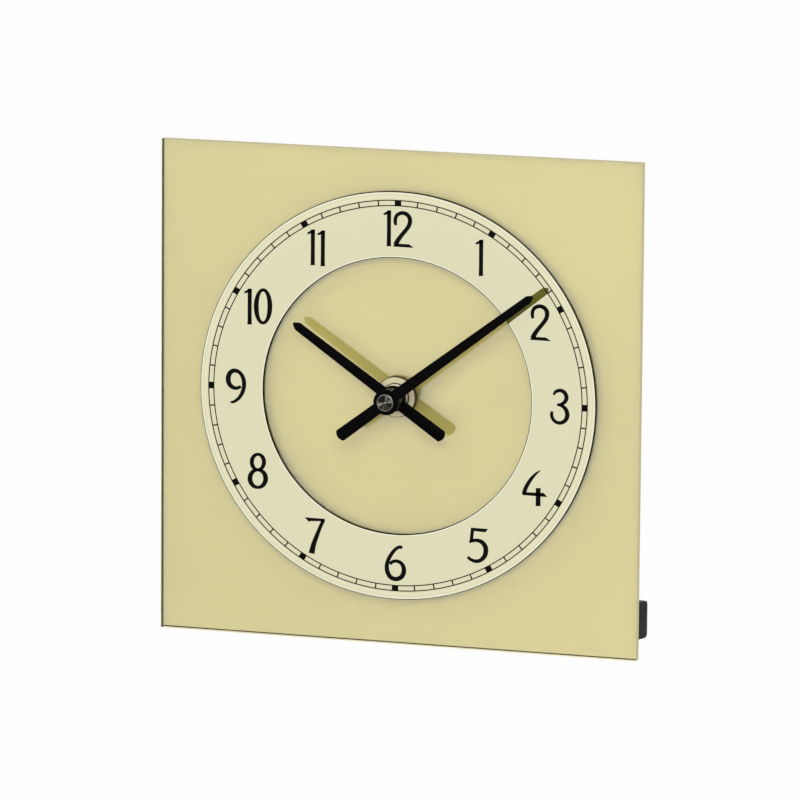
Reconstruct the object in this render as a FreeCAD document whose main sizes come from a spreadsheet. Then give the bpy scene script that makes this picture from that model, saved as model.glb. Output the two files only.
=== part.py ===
import FreeCAD, Part
import os
import re
import Sketcher

# A small table clock. A square glass plate, coated gold on its back, stands on its lower edge and on a low
# bent strip glued behind it. A thin metal ring on the front of the glass carries the numerals. The clock
# movement hangs behind the glass on its threaded bush, and two flat black hands turn in front.
#
# Millimetres and degrees. X runs to the right seen from the front, Y to the back and Z up. The origin is on
# the table, below the middle of the whole clock. Angles of hands and wheels run clockwise from the top, seen
# from the front. A depth is measured to the back, from the front of the glass or of the movement.

doc = FreeCAD.newDocument("TableClock")
sheet = doc.addObject("Spreadsheet::Sheet", "Sizes")

SIZES = {
    # Glass plate and the coating on its back
    "PlateSide": 140,
    "GlassThick": 3,
    "PlateEdge": 0.3,
    "AxisHeight": 70.9,
    "CoatingThick": 0.12,
    # Numeral ring
    "RingOuter": 115.7,
    "RingInner": 78.4,
    "RingThick": 1.0,
    # Threaded bush, its nut and the washer behind the glass
    "BushDiameter": 8,
    "BushProud": 2.6,
    "BushHoleGap": 0.3,
    "NutDiameter": 11.6,
    "NutThick": 2,
    "ThreadGap": 0.02,
    "GasketSide": 20,
    "GasketThick": 0.8,
    "GasketGap": 0.2,
    # Hands, measured from the arbor
    "HandThick": 0.5,
    "HandBoss": 7.2,
    "HourAngle": 304.2,
    "HourLong": 35.2,
    "HourTipWide": 2.44,
    "HourTailWide": 3.5,
    "HourHandProud": 4.75,
    "MinuteAngle": 52.6,
    "MinuteLong": 53,
    "MinuteTipWide": 2.2,
    "MinuteTailWide": 3.56,
    "MinuteHandProud": 10.65,
    "TipSlope": 1.5,
    "TipFlat": 0.5,
    "HourTail": 17.4,
    "MinuteTail": 16.7,
    "TailRound": 2.3,
    # Bushes of the hands and the cap on the arbor
    "HubGap": 0.6,
    "HubCollar": 6.4,
    "MinuteNeck": 4.8,
    "MinuteCollarLong": 2.05,
    "FitGap": 0.01,
    "PipeProud": 0.55,
    "ArborProud": 0.5,
    "CapDiameter": 4.86,
    "CapHigh": 0.85,
    "CapRoom": 0.05,
    # Stand: a flat strip on edge, bent back at both ends
    "StandInset": 14.45,
    "StandDepth": 33,
    "StandHigh": 10.7,
    "StripThick": 2,
    "SplayAngle": 17.3,
    "BendRadius": 1.5,
    "PadLong": 40,
    "PadHigh": 8,
    "PadThick": 0.8,
    "PadInset": 5.55,
    "PadRise": 1.35,
    # Housing of the movement
    "Wall": 1.5,
    "HousingCorner": 3,
    "WheelGap": 0.3,
    "LevelGap": 0.2,
    "LeafMargin": 0.1,
    "TrainStep": 0.5,
    "RearRoom": 2.1,
    "SeparatorThick": 0.8,
    "SeparatorGap": 0.2,
    "SeparatorInset": 1.5,
    "PostSide": 3.8,
    "PostInset": 3,
    "BossSide": 3,
    "BossHigh": 1.5,
    "PivotGap": 0.05,
    "ArborEnd": 0.2,
    # Arbors, from the middle outwards
    "PivotDiameter": 1,
    "ArborDiameter": 3.5,
    "ArborBack": 3,
    "ArborBoreDeep": 2.3,
    "RunGap": 0.08,
    "PipeWall": 0.72,
    "StubDiameter": 1.6,
    # Motion work, which turns the hour hand once for twelve turns of the minute hand
    "MotionModule": 0.675,
    "CannonTeeth": 8,
    "MinuteTeeth": 24,
    "MinutePinionTeeth": 6,
    "HourTeeth": 24,
    "KnobTeeth": 8,
    "MotionAngle": 80,
    "KnobAngle": 105,
    "HourWheelThick": 1,
    "CannonLong": 1,
    "GearPlateThick": 1,
    "GearPlateGap": 0.2,
    # Going train, from the stepping motor to the centre wheel
    "TrainModule": 0.467,
    "MiddleModule": 0.583,
    "WheelThick": 0.7,
    "CentreTeeth": 48,
    "ThirdTeeth": 45,
    "ThirdPinionTeeth": 6,
    "SecondsTeeth": 36,
    "SecondsPinionTeeth": 6,
    "MiddleTeeth": 30,
    "MiddlePinionTeeth": 6,
    "RotorModule": 0.5,
    "RotorTeeth": 6,
    "ThirdAngle": 315,
    "MiddleAngle": 45,
    "RotorAngle": 60,
    "ClutchGap": 0.05,
    # Shares of the module that shape the teeth of wheels and the leaves of pinions
    "ToothRootShare": 1.62,
    "ToothRiseShare": 0.8,
    "ToothFallShare": 1.15,
    "LeafRootShare": 0.46,
    "LeafTipShare": 0.14,
    "LeafRiseShare": 0.6,
    "LeafFallShare": 1.2,
    "SinkShare": 0.15,
    # Setting knob at the back
    "StemDiameter": 3,
    "StemPivot": 2,
    "StemGap": 0.3,
    "StemSunk": 0.9,
    "KnobDiameter": 12,
    "KnobThick": 2.2,
    "KnobLift": 0.4,
    "KnobRib": 0.7,
    "KnobRibFoot": 3.3,
    "KnobRibTip": 1.1,
    "KnobRibs": 16,
    # Stepping motor
    "MagnetDiameter": 6.4,
    "MagnetThick": 2,
    "MagnetGap": 0.7,
    "StatorThick": 0.8,
    "StatorRing": 1.1,
    "StatorArm": 4.4,
    "StatorLeg": 3,
    "StatorRise": 9.14,
    "StatorOver": 2,
    "StatorPostSide": 2.2,
    "CoreLong": 23.6,
    "CoreThick": 0.8,
    "CoreHigh": 3,
    "CoreGap": 0.7,
    "CoreFit": 0.15,
    "BobbinLong": 17,
    "BobbinWall": 0.6,
    "BobbinFlange": 0.8,
    "BobbinGap": 0.2,
    "WindingGap": 0.02,
    "WindingSunk": 0.3,
    "CoilRoom": 0.4,
    # Circuit board
    "BoardCoilGap": 1.2,
    "BoardHigh": 13.2,
    "BoardThick": 0.8,
    "BoardPost": 1.1,
    "BoardPostSide": 2.2,
    "BoardGap": 0.3,
    "ChipSide": 5,
    "ChipThick": 1.2,
    "ChipInset": 1.5,
    "CrystalDiameter": 2.1,
    "CrystalLong": 6.2,
    "CrystalInset": 7,
    # Battery and its contacts
    "BatteryDiameter": 14.2,
    "BatteryLong": 50.5,
    "BatteryGap": 0.1,
    "BatteryRoom": 0.25,
    "BatteryFront": 0.15,
    "BatteryOpening": 0.5,
    "NubDiameter": 5.5,
    "NubHigh": 1.2,
    "ContactRoom": 1.25,
    "ContactThick": 0.35,
    "ContactWide": 3,
    "ContactGap": 0.1,
    "ContactReach": 5,
    "ContactOnBoard": 2,
}
for row, (name, size) in enumerate(SIZES.items(), 1):
    sheet.set("A%d" % row, name)
    sheet.set("B%d" % row, str(size))
    sheet.setAlias("B%d" % row, name)
doc.recompute()


def sized(text):
    """Point each size that is named in a sum at its cell."""
    return re.sub(r"[A-Z][A-Za-z]+", lambda word: "Sizes." * (word.group() in SIZES) + word.group(), text)


def value(text):
    """The number that a sum of sizes comes to."""
    return float(sheet.evalExpression(sized(text)))


def plus(*terms):
    return "(" + " + ".join(terms) + ")"


def less(first, *others):
    return "(" + " - ".join((first,) + others) + ")"


def bind(thing, name, text):
    thing.setExpression(name, sized(text))


PIECES = []

# The origin is halfway between the cap in front and the ends of the stand behind.
CAP_FRONT = plus("MinuteHandProud", "HandThick", "CapHigh")
MIDDLE = "((StandDepth - %s) / 2)" % CAP_FRONT


def body(name, x="0", depth="0", z="AxisHeight", turn="0"):
    """A new piece. Its own depths start at the given depth behind the front of the glass."""
    piece = doc.addObject("PartDesign::Body", name)
    piece.Label = name
    if turn != "0":
        piece.Placement = FreeCAD.Placement(
            FreeCAD.Vector(), FreeCAD.Rotation(FreeCAD.Vector(0, 1, 0), value(turn)))
        bind(piece, "Placement.Rotation.Angle", turn)
    bind(piece, "Placement.Base.x", x)
    bind(piece, "Placement.Base.y", less(depth, MIDDLE))
    bind(piece, "Placement.Base.z", z)
    PIECES.append(piece)
    return piece


def sketch(piece, name, plane="XZ_Plane", place="0"):
    """A sketch seen from the front at a depth, or seen from above (XY) at a height."""
    drawn = piece.newObject("Sketcher::SketchObject", name)
    face = next(f for f in piece.Origin.OriginFeatures if f.Role == plane)
    drawn.AttachmentSupport = [(face, "")]
    drawn.MapMode = "FlatFace"
    if place != "0":
        bind(drawn, "AttachmentOffset.Base.z", less("0", place) if plane == "XZ_Plane" else place)
    return drawn


def outline(drawn, points, arcs=None):
    """A closed outline, anticlockwise. An arc of the given radius may replace the side after a point."""
    arcs = arcs or {}
    spots = [FreeCAD.Vector(value(x), value(y), 0) for x, y in points]
    sides = []
    for i, start in enumerate(spots):
        end = spots[(i + 1) % len(spots)]
        if i in arcs:
            radius = value(arcs[i])
            chord = end - start
            inward = FreeCAD.Vector(-chord.y, chord.x, 0).normalize()
            rise = (radius ** 2 - chord.Length ** 2 / 4) ** 0.5
            centre = (start + end) / 2 + inward * rise
            circle_line = Part.Circle(centre, FreeCAD.Vector(0, 0, 1), radius)
            side = Part.ArcOfCircle(circle_line, circle_line.parameter(start), circle_line.parameter(end))
        else:
            side = Part.LineSegment(start, end)
        sides.append(drawn.addGeometry(side, False))
    for i, side in enumerate(sides):
        following = sides[(i + 1) % len(sides)]
        drawn.addConstraint(Sketcher.Constraint("Coincident", side, 2, following, 1))
    for side, (x, y), spot in zip(sides, points, spots):
        across = drawn.addConstraint(Sketcher.Constraint("DistanceX", -1, 1, side, 1, spot.x))
        bind(drawn, "Constraints[%d]" % across, x)
        up = drawn.addConstraint(Sketcher.Constraint("DistanceY", -1, 1, side, 1, spot.y))
        bind(drawn, "Constraints[%d]" % up, y)
    for i, radius in arcs.items():
        held = drawn.addConstraint(Sketcher.Constraint("Radius", sides[i], value(radius)))
        bind(drawn, "Constraints[%d]" % held, radius)


def box(drawn, left, low, right, high):
    outline(drawn, [(left, low), (right, low), (right, high), (left, high)])


def circle(drawn, x, y, diameter):
    radius = "(%s / 2)" % diameter
    spot = FreeCAD.Vector(value(x), value(y), 0)
    ring = drawn.addGeometry(Part.Circle(spot, FreeCAD.Vector(0, 0, 1), value(radius)), False)
    held = drawn.addConstraint(Sketcher.Constraint("Radius", ring, value(radius)))
    bind(drawn, "Constraints[%d]" % held, radius)
    across = drawn.addConstraint(Sketcher.Constraint("DistanceX", -1, 1, ring, 3, spot.x))
    bind(drawn, "Constraints[%d]" % across, x)
    up = drawn.addConstraint(Sketcher.Constraint("DistanceY", -1, 1, ring, 3, spot.y))
    bind(drawn, "Constraints[%d]" % up, y)


def square(drawn, x, y, side):
    box(drawn, "%s - %s / 2" % (x, side), "%s - %s / 2" % (y, side),
        "%s + %s / 2" % (x, side), "%s + %s / 2" % (y, side))


def pad(piece, drawn, length):
    """Thicken a sketch to the back, or upwards for one that is seen from above."""
    thick = piece.newObject("PartDesign::Pad", drawn.Name + "_pad")
    thick.Profile = drawn
    thick.Reversed = drawn.AttachmentSupport[0][0].Role == "XZ_Plane"
    bind(thick, "Length", length)
    drawn.Visibility = False
    return thick


def pocket(piece, drawn, length):
    """Cut a sketch away towards the back, and make sure that something was cut."""
    doc.recompute()
    before = piece.Shape.Volume
    cut = piece.newObject("PartDesign::Pocket", drawn.Name + "_pocket")
    cut.Profile = drawn
    bind(cut, "Length", length)
    doc.recompute()
    if not piece.Shape.Volume < before:
        raise RuntimeError("nothing was cut by " + drawn.Name)
    return cut


def turned(piece, name, start, steps, bore="0", along="V_Axis"):
    """A turned form: from a start, each step gives a diameter and the place where that diameter ends."""
    hollow = "(%s / 2)" % bore
    points = [(hollow, start)]
    here = start
    for diameter, end in steps:
        points += [("(%s / 2)" % diameter, here), ("(%s / 2)" % diameter, end)]
        here = end
    points.append((hollow, here))
    if along == "H_Axis":
        points = [(place, radius) for radius, place in points]
    return turned_outline(piece, name, points, along)


def turned_outline(piece, name, points, along="V_Axis"):
    """Turn a profile about the depth (V_Axis) or about X (H_Axis)."""
    drawn = sketch(piece, name, "XY_Plane")
    outline(drawn, points)
    spun = piece.newObject("PartDesign::Revolution", name + "_turned")
    spun.Profile = drawn
    spun.ReferenceAxis = (drawn, [along])
    spun.Angle = 360
    return spun


def around(piece, feature, name, count):
    """Repeat a feature in a circle about the piece's own axis."""
    axis = next(f for f in piece.Origin.OriginFeatures if f.Role == "Y_Axis")
    repeat = piece.newObject("PartDesign::PolarPattern", name)
    repeat.Originals = [feature]
    repeat.Axis = (axis, [""])
    repeat.Angle = 360
    bind(repeat, "Occurrences", count)
    piece.Tip = repeat
    return repeat


def finish(piece, kind, name, size, chosen):
    """Round or chamfer the edges for which chosen(edge) holds."""
    doc.recompute()
    base = piece.Tip
    edges = ["Edge%d" % i for i, edge in enumerate(base.Shape.Edges, 1) if chosen(edge)]
    worked = piece.newObject("PartDesign::" + kind, name)
    worked.Base = (base, edges)
    bind(worked, "Radius" if kind == "Fillet" else "Size", size)
    return worked


def runs(edge, direction):
    """Whether an edge is straight and lies along a direction."""
    if not isinstance(edge.Curve, Part.Line):
        return False
    return abs(abs(edge.Curve.Direction.dot(direction)) - 1) < 1e-6


BACK = FreeCAD.Vector(0, 1, 0)
UP = FreeCAD.Vector(0, 0, 1)


def wheel_radius(count, module):
    """Outer radius over the teeth of a wheel."""
    return "((%s / 2 + ToothRiseShare) * %s)" % (count, module)


def root(kind, count, module):
    """Diameter of the round core that carries the teeth of a wheel or the leaves of a pinion."""
    return "((%s - 2 * %sFallShare) * %s)" % (count, kind, module)


def toothed(kind, piece, name, count, module, front, long):
    """Straight sided teeth: one is drawn at the top, with its foot sunk in the core, and repeated all round.

    The teeth of a wheel (Tooth) are pointed and meet in a sharp gap. The leaves of a pinion (Leaf) are
    slimmer, with a flat tip and a wider gap, so that the pair turns freely.
    """
    low = "((%s / 2 - %sFallShare - SinkShare) * %s)" % (count, kind, module)
    high = "((%s / 2 + %sRiseShare) * %s)" % (count, kind, module)
    foot = "(%sRootShare * %s)" % (kind, module)
    points = [(less("0", foot), low), (foot, low)]
    if kind == "Tooth":
        points += [("0", high)]
    else:
        points += [("LeafTipShare * " + module, high), ("-LeafTipShare * " + module, high)]
    drawn = sketch(piece, name, place=front)
    outline(drawn, points)
    return around(piece, pad(piece, drawn, long), name + "_around", count)


def meshed(turn, count, direction, next_count):
    """Turn of the next wheel, so that its teeth stand in the gaps of the one before.

    The direction is the clockwise angle from the one centre to the next.
    """
    past = "((%s - %s) * %s / 360)" % (turn, direction, count)
    return "(%s + 180 + 360 / %s * (0.5 - %s))" % (direction, next_count, past)


# Levels inside the movement, as depths behind the front of its housing.
HOUR_FRONT = plus("Wall", "WheelGap")
HOUR_BACK = plus(HOUR_FRONT, "HourWheelThick")
CANNON_FRONT = plus(HOUR_BACK, "LevelGap")
CANNON_BACK = plus(CANNON_FRONT, "CannonLong")
MINUTE_FRONT = plus(CANNON_FRONT, "LeafMargin")
MINUTE_THICK = less("CannonLong", "2 * LeafMargin")
PLATE_FRONT = plus(CANNON_BACK, "WheelGap")
PLATE_BACK = plus(PLATE_FRONT, "GearPlateThick")
CENTRE_FRONT = plus(PLATE_BACK, "WheelGap")
CENTRE_BACK = plus(CENTRE_FRONT, "WheelThick")
THIRD_FRONT = plus(CENTRE_BACK, "TrainStep")
THIRD_BACK = plus(THIRD_FRONT, "WheelThick")
SECONDS_FRONT = plus(THIRD_BACK, "TrainStep")
SECONDS_BACK = plus(SECONDS_FRONT, "WheelThick")
MIDDLE_FRONT = plus(SECONDS_BACK, "TrainStep")
MIDDLE_BACK = plus(MIDDLE_FRONT, "WheelThick")
MAGNET_FRONT = plus(MIDDLE_BACK, "TrainStep")
MAGNET_BACK = plus(MAGNET_FRONT, "MagnetThick")
REAR_INNER = plus(MAGNET_BACK, "RearRoom")
HOUSING_DEPTH = plus(REAR_INNER, "Wall")
SPLIT = "(%s / 2)" % HOUSING_DEPTH
LEAF_LONG = plus("WheelThick", "2 * LeafMargin")
STATOR_FRONT = plus(MAGNET_FRONT, "(MagnetThick - StatorThick) / 2")
STATOR_BACK = plus(STATOR_FRONT, "StatorThick")
COIL_DEPTH = less(STATOR_FRONT, "CoreThick / 2")
BOARD_FRONT = less(REAR_INNER, "BoardPost", "BoardThick")
ARBOR_BACK = less(REAR_INNER, "ArborEnd")

# Centres of the wheels, to the right of and above the middle arbor.
MOTION_SPAN = "(MotionModule * (CannonTeeth + MinuteTeeth) / 2)"
HOUR_MODULE = "(2 * %s / (MinutePinionTeeth + HourTeeth))" % MOTION_SPAN
KNOB_SPAN = "(MotionModule * (MinuteTeeth + KnobTeeth) / 2)"
TRAIN_SPAN = "(TrainModule * (SecondsPinionTeeth + ThirdTeeth) / 2)"
CENTRE_MODULE = "(2 * %s / (ThirdPinionTeeth + CentreTeeth))" % TRAIN_SPAN
MIDDLE_SPAN = "(MiddleModule * (MiddlePinionTeeth + SecondsTeeth) / 2)"
ROTOR_SPAN = "(RotorModule * (RotorTeeth + MiddleTeeth) / 2)"
MINUTE_X = "(%s * sin(MotionAngle))" % MOTION_SPAN
MINUTE_Z = "(%s * cos(MotionAngle))" % MOTION_SPAN
KNOB_X = plus(MINUTE_X, "%s * sin(KnobAngle)" % KNOB_SPAN)
KNOB_Z = plus(MINUTE_Z, "%s * cos(KnobAngle)" % KNOB_SPAN)
THIRD_X = "(%s * sin(ThirdAngle))" % TRAIN_SPAN
THIRD_Z = "(%s * cos(ThirdAngle))" % TRAIN_SPAN
MIDDLE_X = "(%s * sin(MiddleAngle))" % MIDDLE_SPAN
MIDDLE_Z = "(%s * cos(MiddleAngle))" % MIDDLE_SPAN
ROTOR_X = plus(MIDDLE_X, "%s * sin(RotorAngle)" % ROTOR_SPAN)
ROTOR_Z = plus(MIDDLE_Z, "%s * cos(RotorAngle)" % ROTOR_SPAN)
COIL_Z = plus(ROTOR_Z, "StatorRise")
HALF_FLANGE = less(REAR_INNER, COIL_DEPTH, "BobbinGap")

# Turns that bring every pair of wheels into mesh.
MINUTE_TURN = meshed("0", "CannonTeeth", "MotionAngle", "MinuteTeeth")
HOUR_TURN = meshed(MINUTE_TURN, "MinutePinionTeeth", "(MotionAngle + 180)", "HourTeeth")
KNOB_TURN = meshed(MINUTE_TURN, "MinuteTeeth", "KnobAngle", "KnobTeeth")
MIDDLE_TURN = meshed("0", "RotorTeeth", "(RotorAngle + 180)", "MiddleTeeth")
SECONDS_TURN = meshed(MIDDLE_TURN, "MiddlePinionTeeth", "(MiddleAngle + 180)", "SecondsTeeth")
THIRD_TURN = meshed(SECONDS_TURN, "SecondsPinionTeeth", "ThirdAngle", "ThirdTeeth")
CENTRE_TURN = meshed(THIRD_TURN, "ThirdPinionTeeth", "(ThirdAngle + 180)", "CentreTeeth")

# Room inside the housing. The battery lies across its lower part, under a separating wall.
INNER_X = plus("BatteryLong / 2", "ContactRoom")
OUTER_X = plus(INNER_X, "Wall")
LARGEST = "max(%s; %s)" % (
    wheel_radius("CentreTeeth", CENTRE_MODULE), wheel_radius("SecondsTeeth", "MiddleModule"))
SEPARATOR_TOP = less("0", LARGEST, "SeparatorGap")
SEPARATOR_LOW = less(SEPARATOR_TOP, "SeparatorThick")
BATTERY_Z = less(SEPARATOR_LOW, "BatteryGap", "BatteryDiameter / 2")
INNER_LOW = less(BATTERY_Z, "BatteryDiameter / 2", "BatteryRoom")
OUTER_LOW = less(INNER_LOW, "Wall")
INNER_TOP = plus(COIL_Z, HALF_FLANGE, "CoilRoom")
OUTER_TOP = plus(INNER_TOP, "Wall")
BATTERY_DEPTH = plus("Wall", "BatteryFront", "BatteryDiameter / 2")

HOUSING = plus("GlassThick", "CoatingThick", "GasketThick")
HOLE = plus("BushDiameter", "2 * BushHoleGap")


# Glass plate with polished, slightly chamfered edges and one hole for the bush.
glass = body("glass_plate")
front = sketch(glass, "plate_outline")
box(front, "-PlateSide / 2", "-AxisHeight", "PlateSide / 2", less("PlateSide", "AxisHeight"))
circle(front, "0", "0", HOLE)
pad(glass, front, "GlassThick")
finish(glass, "Chamfer", "polished_edge", "PlateEdge",
       lambda edge: isinstance(edge.Curve, Part.Line) and not runs(edge, BACK))

# Gold coating on the back of the glass, inside the chamfer.
coating = body("gold_coating", depth="GlassThick")
front = sketch(coating, "coating_outline")
box(front, "-PlateSide / 2 + PlateEdge", "-AxisHeight + PlateEdge",
    "PlateSide / 2 - PlateEdge", less("PlateSide", "AxisHeight", "PlateEdge"))
circle(front, "0", "0", HOLE)
pad(coating, front, "CoatingThick")

# Flat metal ring for the numerals, bonded straight on the glass.
ring = body("chapter_ring")
turned(ring, "ring_profile", "-RingThick", [("RingOuter", "0")], bore="RingInner")

# Round nut on the bush, screwed down on the glass.
nut = body("centre_nut")
turned(nut, "nut_profile", "-NutThick", [("NutDiameter", "0")], bore=plus("BushDiameter", "2 * ThreadGap"))

# Square rubber pad between the coated glass and the movement, with a hole for the bush.
gasket = body("rubber_gasket", depth=plus("GlassThick", "CoatingThick"))
front = sketch(gasket, "gasket_outline")
box(front, "-GasketSide / 2", "-GasketSide / 2", "GasketSide / 2", "GasketSide / 2")
circle(front, "0", "0", plus("BushDiameter", "2 * GasketGap"))
pad(gasket, front, "GasketThick")


# Front half of the housing: a shallow box with the bush, the stub for the minute wheel, the posts that carry
# the gear plate and the wall that keeps the battery away from the wheels.
PIPE_DIAMETER = plus("ArborDiameter", "2 * RunGap", "2 * PipeWall")
housing = body("front_housing", depth=HOUSING)
plan = sketch(housing, "front_box")
box(plan, less("0", OUTER_X), OUTER_LOW, OUTER_X, OUTER_TOP)
pad(housing, plan, SPLIT)
finish(housing, "Fillet", "front_corners", "HousingCorner", lambda edge: runs(edge, BACK))
plan = sketch(housing, "front_room", place="Wall")
box(plan, less("0", INNER_X), INNER_LOW, INNER_X, INNER_TOP)
pocket(housing, plan, less(SPLIT, "Wall"))
plan = sketch(housing, "front_separator", place="Wall")
SEPARATOR_END = less(INNER_X, "SeparatorInset")
box(plan, less("0", SEPARATOR_END), SEPARATOR_LOW, SEPARATOR_END, SEPARATOR_TOP)
pad(housing, plan, less(SPLIT, "Wall"))
POST_X = less(INNER_X, "PostInset")
POST_TOP = less(INNER_TOP, "PostInset")
POST_LOW = plus(SEPARATOR_TOP, "PostInset")
POSTS = [(x, z) for x in (less("0", POST_X), POST_X) for z in (POST_LOW, POST_TOP)]
plan = sketch(housing, "plate_posts", place="Wall")
for x, z in POSTS:
    square(plan, x, z, "PostSide")
pad(housing, plan, less(PLATE_FRONT, "Wall"))
plan = sketch(housing, "minute_stub", place="Wall")
circle(plan, MINUTE_X, MINUTE_Z, "StubDiameter")
pad(housing, plan, less(CANNON_BACK, "Wall"))
BUSH_LONG = plus(HOUSING, "BushProud")
turned(housing, "bush_profile", less("0", BUSH_LONG), [("BushDiameter", "Wall")])
bore = sketch(housing, "bush_bore", place=less("0", BUSH_LONG))
circle(bore, "0", "0", plus(PIPE_DIAMETER, "2 * RunGap"))
pocket(housing, bore, plus(BUSH_LONG, "Wall"))
bore = sketch(housing, "stem_seat", place=less("Wall", "StemSunk"))
circle(bore, KNOB_X, KNOB_Z, plus("StemPivot", "2 * PivotGap"))
pocket(housing, bore, "StemSunk")

# Rear half of the housing: open over the battery, with bearings for the arbors and posts for the motor and
# the board.
cover = body("rear_cover", depth=HOUSING)
plan = sketch(cover, "rear_box", place=SPLIT)
box(plan, less("0", OUTER_X), OUTER_LOW, OUTER_X, OUTER_TOP)
pad(cover, plan, less(HOUSING_DEPTH, SPLIT))
finish(cover, "Fillet", "rear_corners", "HousingCorner", lambda edge: runs(edge, BACK))
plan = sketch(cover, "rear_room", place=SPLIT)
box(plan, less("0", INNER_X), INNER_LOW, INNER_X, INNER_TOP)
pocket(cover, plan, less(REAR_INNER, SPLIT))
plan = sketch(cover, "rear_separator", place=SPLIT)
box(plan, less("0", SEPARATOR_END), SEPARATOR_LOW, SEPARATOR_END, SEPARATOR_TOP)
pad(cover, plan, less(REAR_INNER, SPLIT))
plan = sketch(cover, "arbor_bosses", place=less(REAR_INNER, "BossHigh"))
ARBORS = [("0", "0"), (THIRD_X, THIRD_Z), (MIDDLE_X, MIDDLE_Z), (ROTOR_X, ROTOR_Z)]
for x, z in ARBORS:
    square(plan, x, z, "BossSide")
pad(cover, plan, "BossHigh")
CORE_RIGHT = less(INNER_X, "CoreGap")
CORE_LEFT = less(CORE_RIGHT, "CoreLong")
plan = sketch(cover, "stator_posts", place=STATOR_BACK)
for x in (plus(CORE_LEFT, "StatorLeg / 2"), less(CORE_RIGHT, "StatorLeg / 2")):
    square(plan, x, ROTOR_Z, "StatorPostSide")
pad(cover, plan, less(REAR_INNER, STATOR_BACK))
BOARD_LEFT = less("BoardGap", INNER_X)
BOARD_RIGHT = less(CORE_LEFT, "BoardCoilGap")
BOARD_TOP = less(INNER_TOP, "BoardGap")
plan = sketch(cover, "board_posts", place=less(REAR_INNER, "BoardPost"))
for x in (plus(BOARD_LEFT, "BoardPostSide"), less(BOARD_RIGHT, "BoardPostSide")):
    square(plan, x, less(BOARD_TOP, "BoardHigh / 2"), "BoardPostSide")
pad(cover, plan, "BoardPost")
bore = sketch(cover, "arbor_bearings", place=less(REAR_INNER, "BossHigh"))
for x, z in ARBORS:
    circle(bore, x, z, plus("PivotDiameter", "2 * PivotGap"))
pocket(cover, bore, "BossHigh")
bore = sketch(cover, "stem_hole", place=REAR_INNER)
circle(bore, KNOB_X, KNOB_Z, plus("StemDiameter", "2 * StemGap"))
pocket(cover, bore, "Wall")
plan = sketch(cover, "battery_opening", place=REAR_INNER)
OPENING_X = plus("BatteryLong / 2", "BatteryOpening")
box(plan, less("0", OPENING_X), INNER_LOW, OPENING_X, SEPARATOR_LOW)
pocket(cover, plan, "Wall")

# Gear plate, held on the four posts, with the front bearings of the train.
gears = body("gear_plate", depth=HOUSING)
plan = sketch(gears, "gear_plate_outline", place=PLATE_FRONT)
PLATE_X = less(INNER_X, "GearPlateGap")
box(plan, less("0", PLATE_X), plus(SEPARATOR_TOP, "GearPlateGap"), PLATE_X, less(INNER_TOP, "GearPlateGap"))
pad(gears, plan, "GearPlateThick")
bore = sketch(gears, "gear_plate_holes", place=PLATE_FRONT)
circle(bore, "0", "0", plus("ArborBack", "2 * RunGap"))
circle(bore, KNOB_X, KNOB_Z, plus("StemDiameter", "2 * StemGap"))
for x, z in ARBORS[1:]:
    circle(bore, x, z, plus("PivotDiameter", "2 * PivotGap"))
pocket(gears, bore, "GearPlateThick")


# Hour wheel with the pipe that runs through the bush and carries the hour hand.
hour_wheel = body("hour_wheel", depth=HOUSING, turn=HOUR_TURN)
PIPE_FRONT = less("0", HOUSING, "HourHandProud", "HandThick", "PipeProud")
turned(hour_wheel, "hour_wheel_profile", PIPE_FRONT,
       [(PIPE_DIAMETER, HOUR_FRONT), (root("Tooth", "HourTeeth", HOUR_MODULE), HOUR_BACK)],
       bore=plus("ArborDiameter", "2 * RunGap"))
toothed("Tooth", hour_wheel, "hour_tooth", "HourTeeth", HOUR_MODULE, HOUR_FRONT, "HourWheelThick")

# Minute arbor: it carries the minute hand in front, its pinion drives the motion work, and the centre wheel
# grips it behind. The seconds arbor turns in its bore.
arbor = body("minute_arbor", depth=HOUSING)
ARBOR_FRONT = less("0", HOUSING, "MinuteHandProud", "HandThick", "ArborProud")
CLUTCH_BACK = plus(CENTRE_BACK, "ClutchGap")
turned(arbor, "arbor_profile", ARBOR_FRONT, [
    ("ArborDiameter", CANNON_FRONT),
    (root("Leaf", "CannonTeeth", "MotionModule"), CANNON_BACK),
    ("ArborBack", CLUTCH_BACK)])
toothed("Leaf", arbor, "cannon_leaf", "CannonTeeth", "MotionModule", CANNON_FRONT, "CannonLong")
bore = sketch(arbor, "seconds_bore", place=less(CLUTCH_BACK, "ArborBoreDeep"))
circle(bore, "0", "0", plus("PivotDiameter", "2 * PivotGap"))
pocket(arbor, bore, "ArborBoreDeep")

# Minute wheel and its pinion, loose on the stub.
minute_wheel = body("minute_wheel", MINUTE_X, HOUSING, plus("AxisHeight", MINUTE_Z), MINUTE_TURN)
turned(minute_wheel, "minute_wheel_profile", HOUR_FRONT, [
    (root("Leaf", "MinutePinionTeeth", HOUR_MODULE), MINUTE_FRONT),
    (root("Tooth", "MinuteTeeth", "MotionModule"), plus(MINUTE_FRONT, MINUTE_THICK))],
    bore=plus("StubDiameter", "2 * PivotGap"))
toothed("Leaf", minute_wheel, "minute_leaf", "MinutePinionTeeth", HOUR_MODULE, HOUR_FRONT,
        less(MINUTE_FRONT, HOUR_FRONT))
toothed("Tooth", minute_wheel, "minute_tooth", "MinuteTeeth", "MotionModule", MINUTE_FRONT, MINUTE_THICK)

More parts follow.
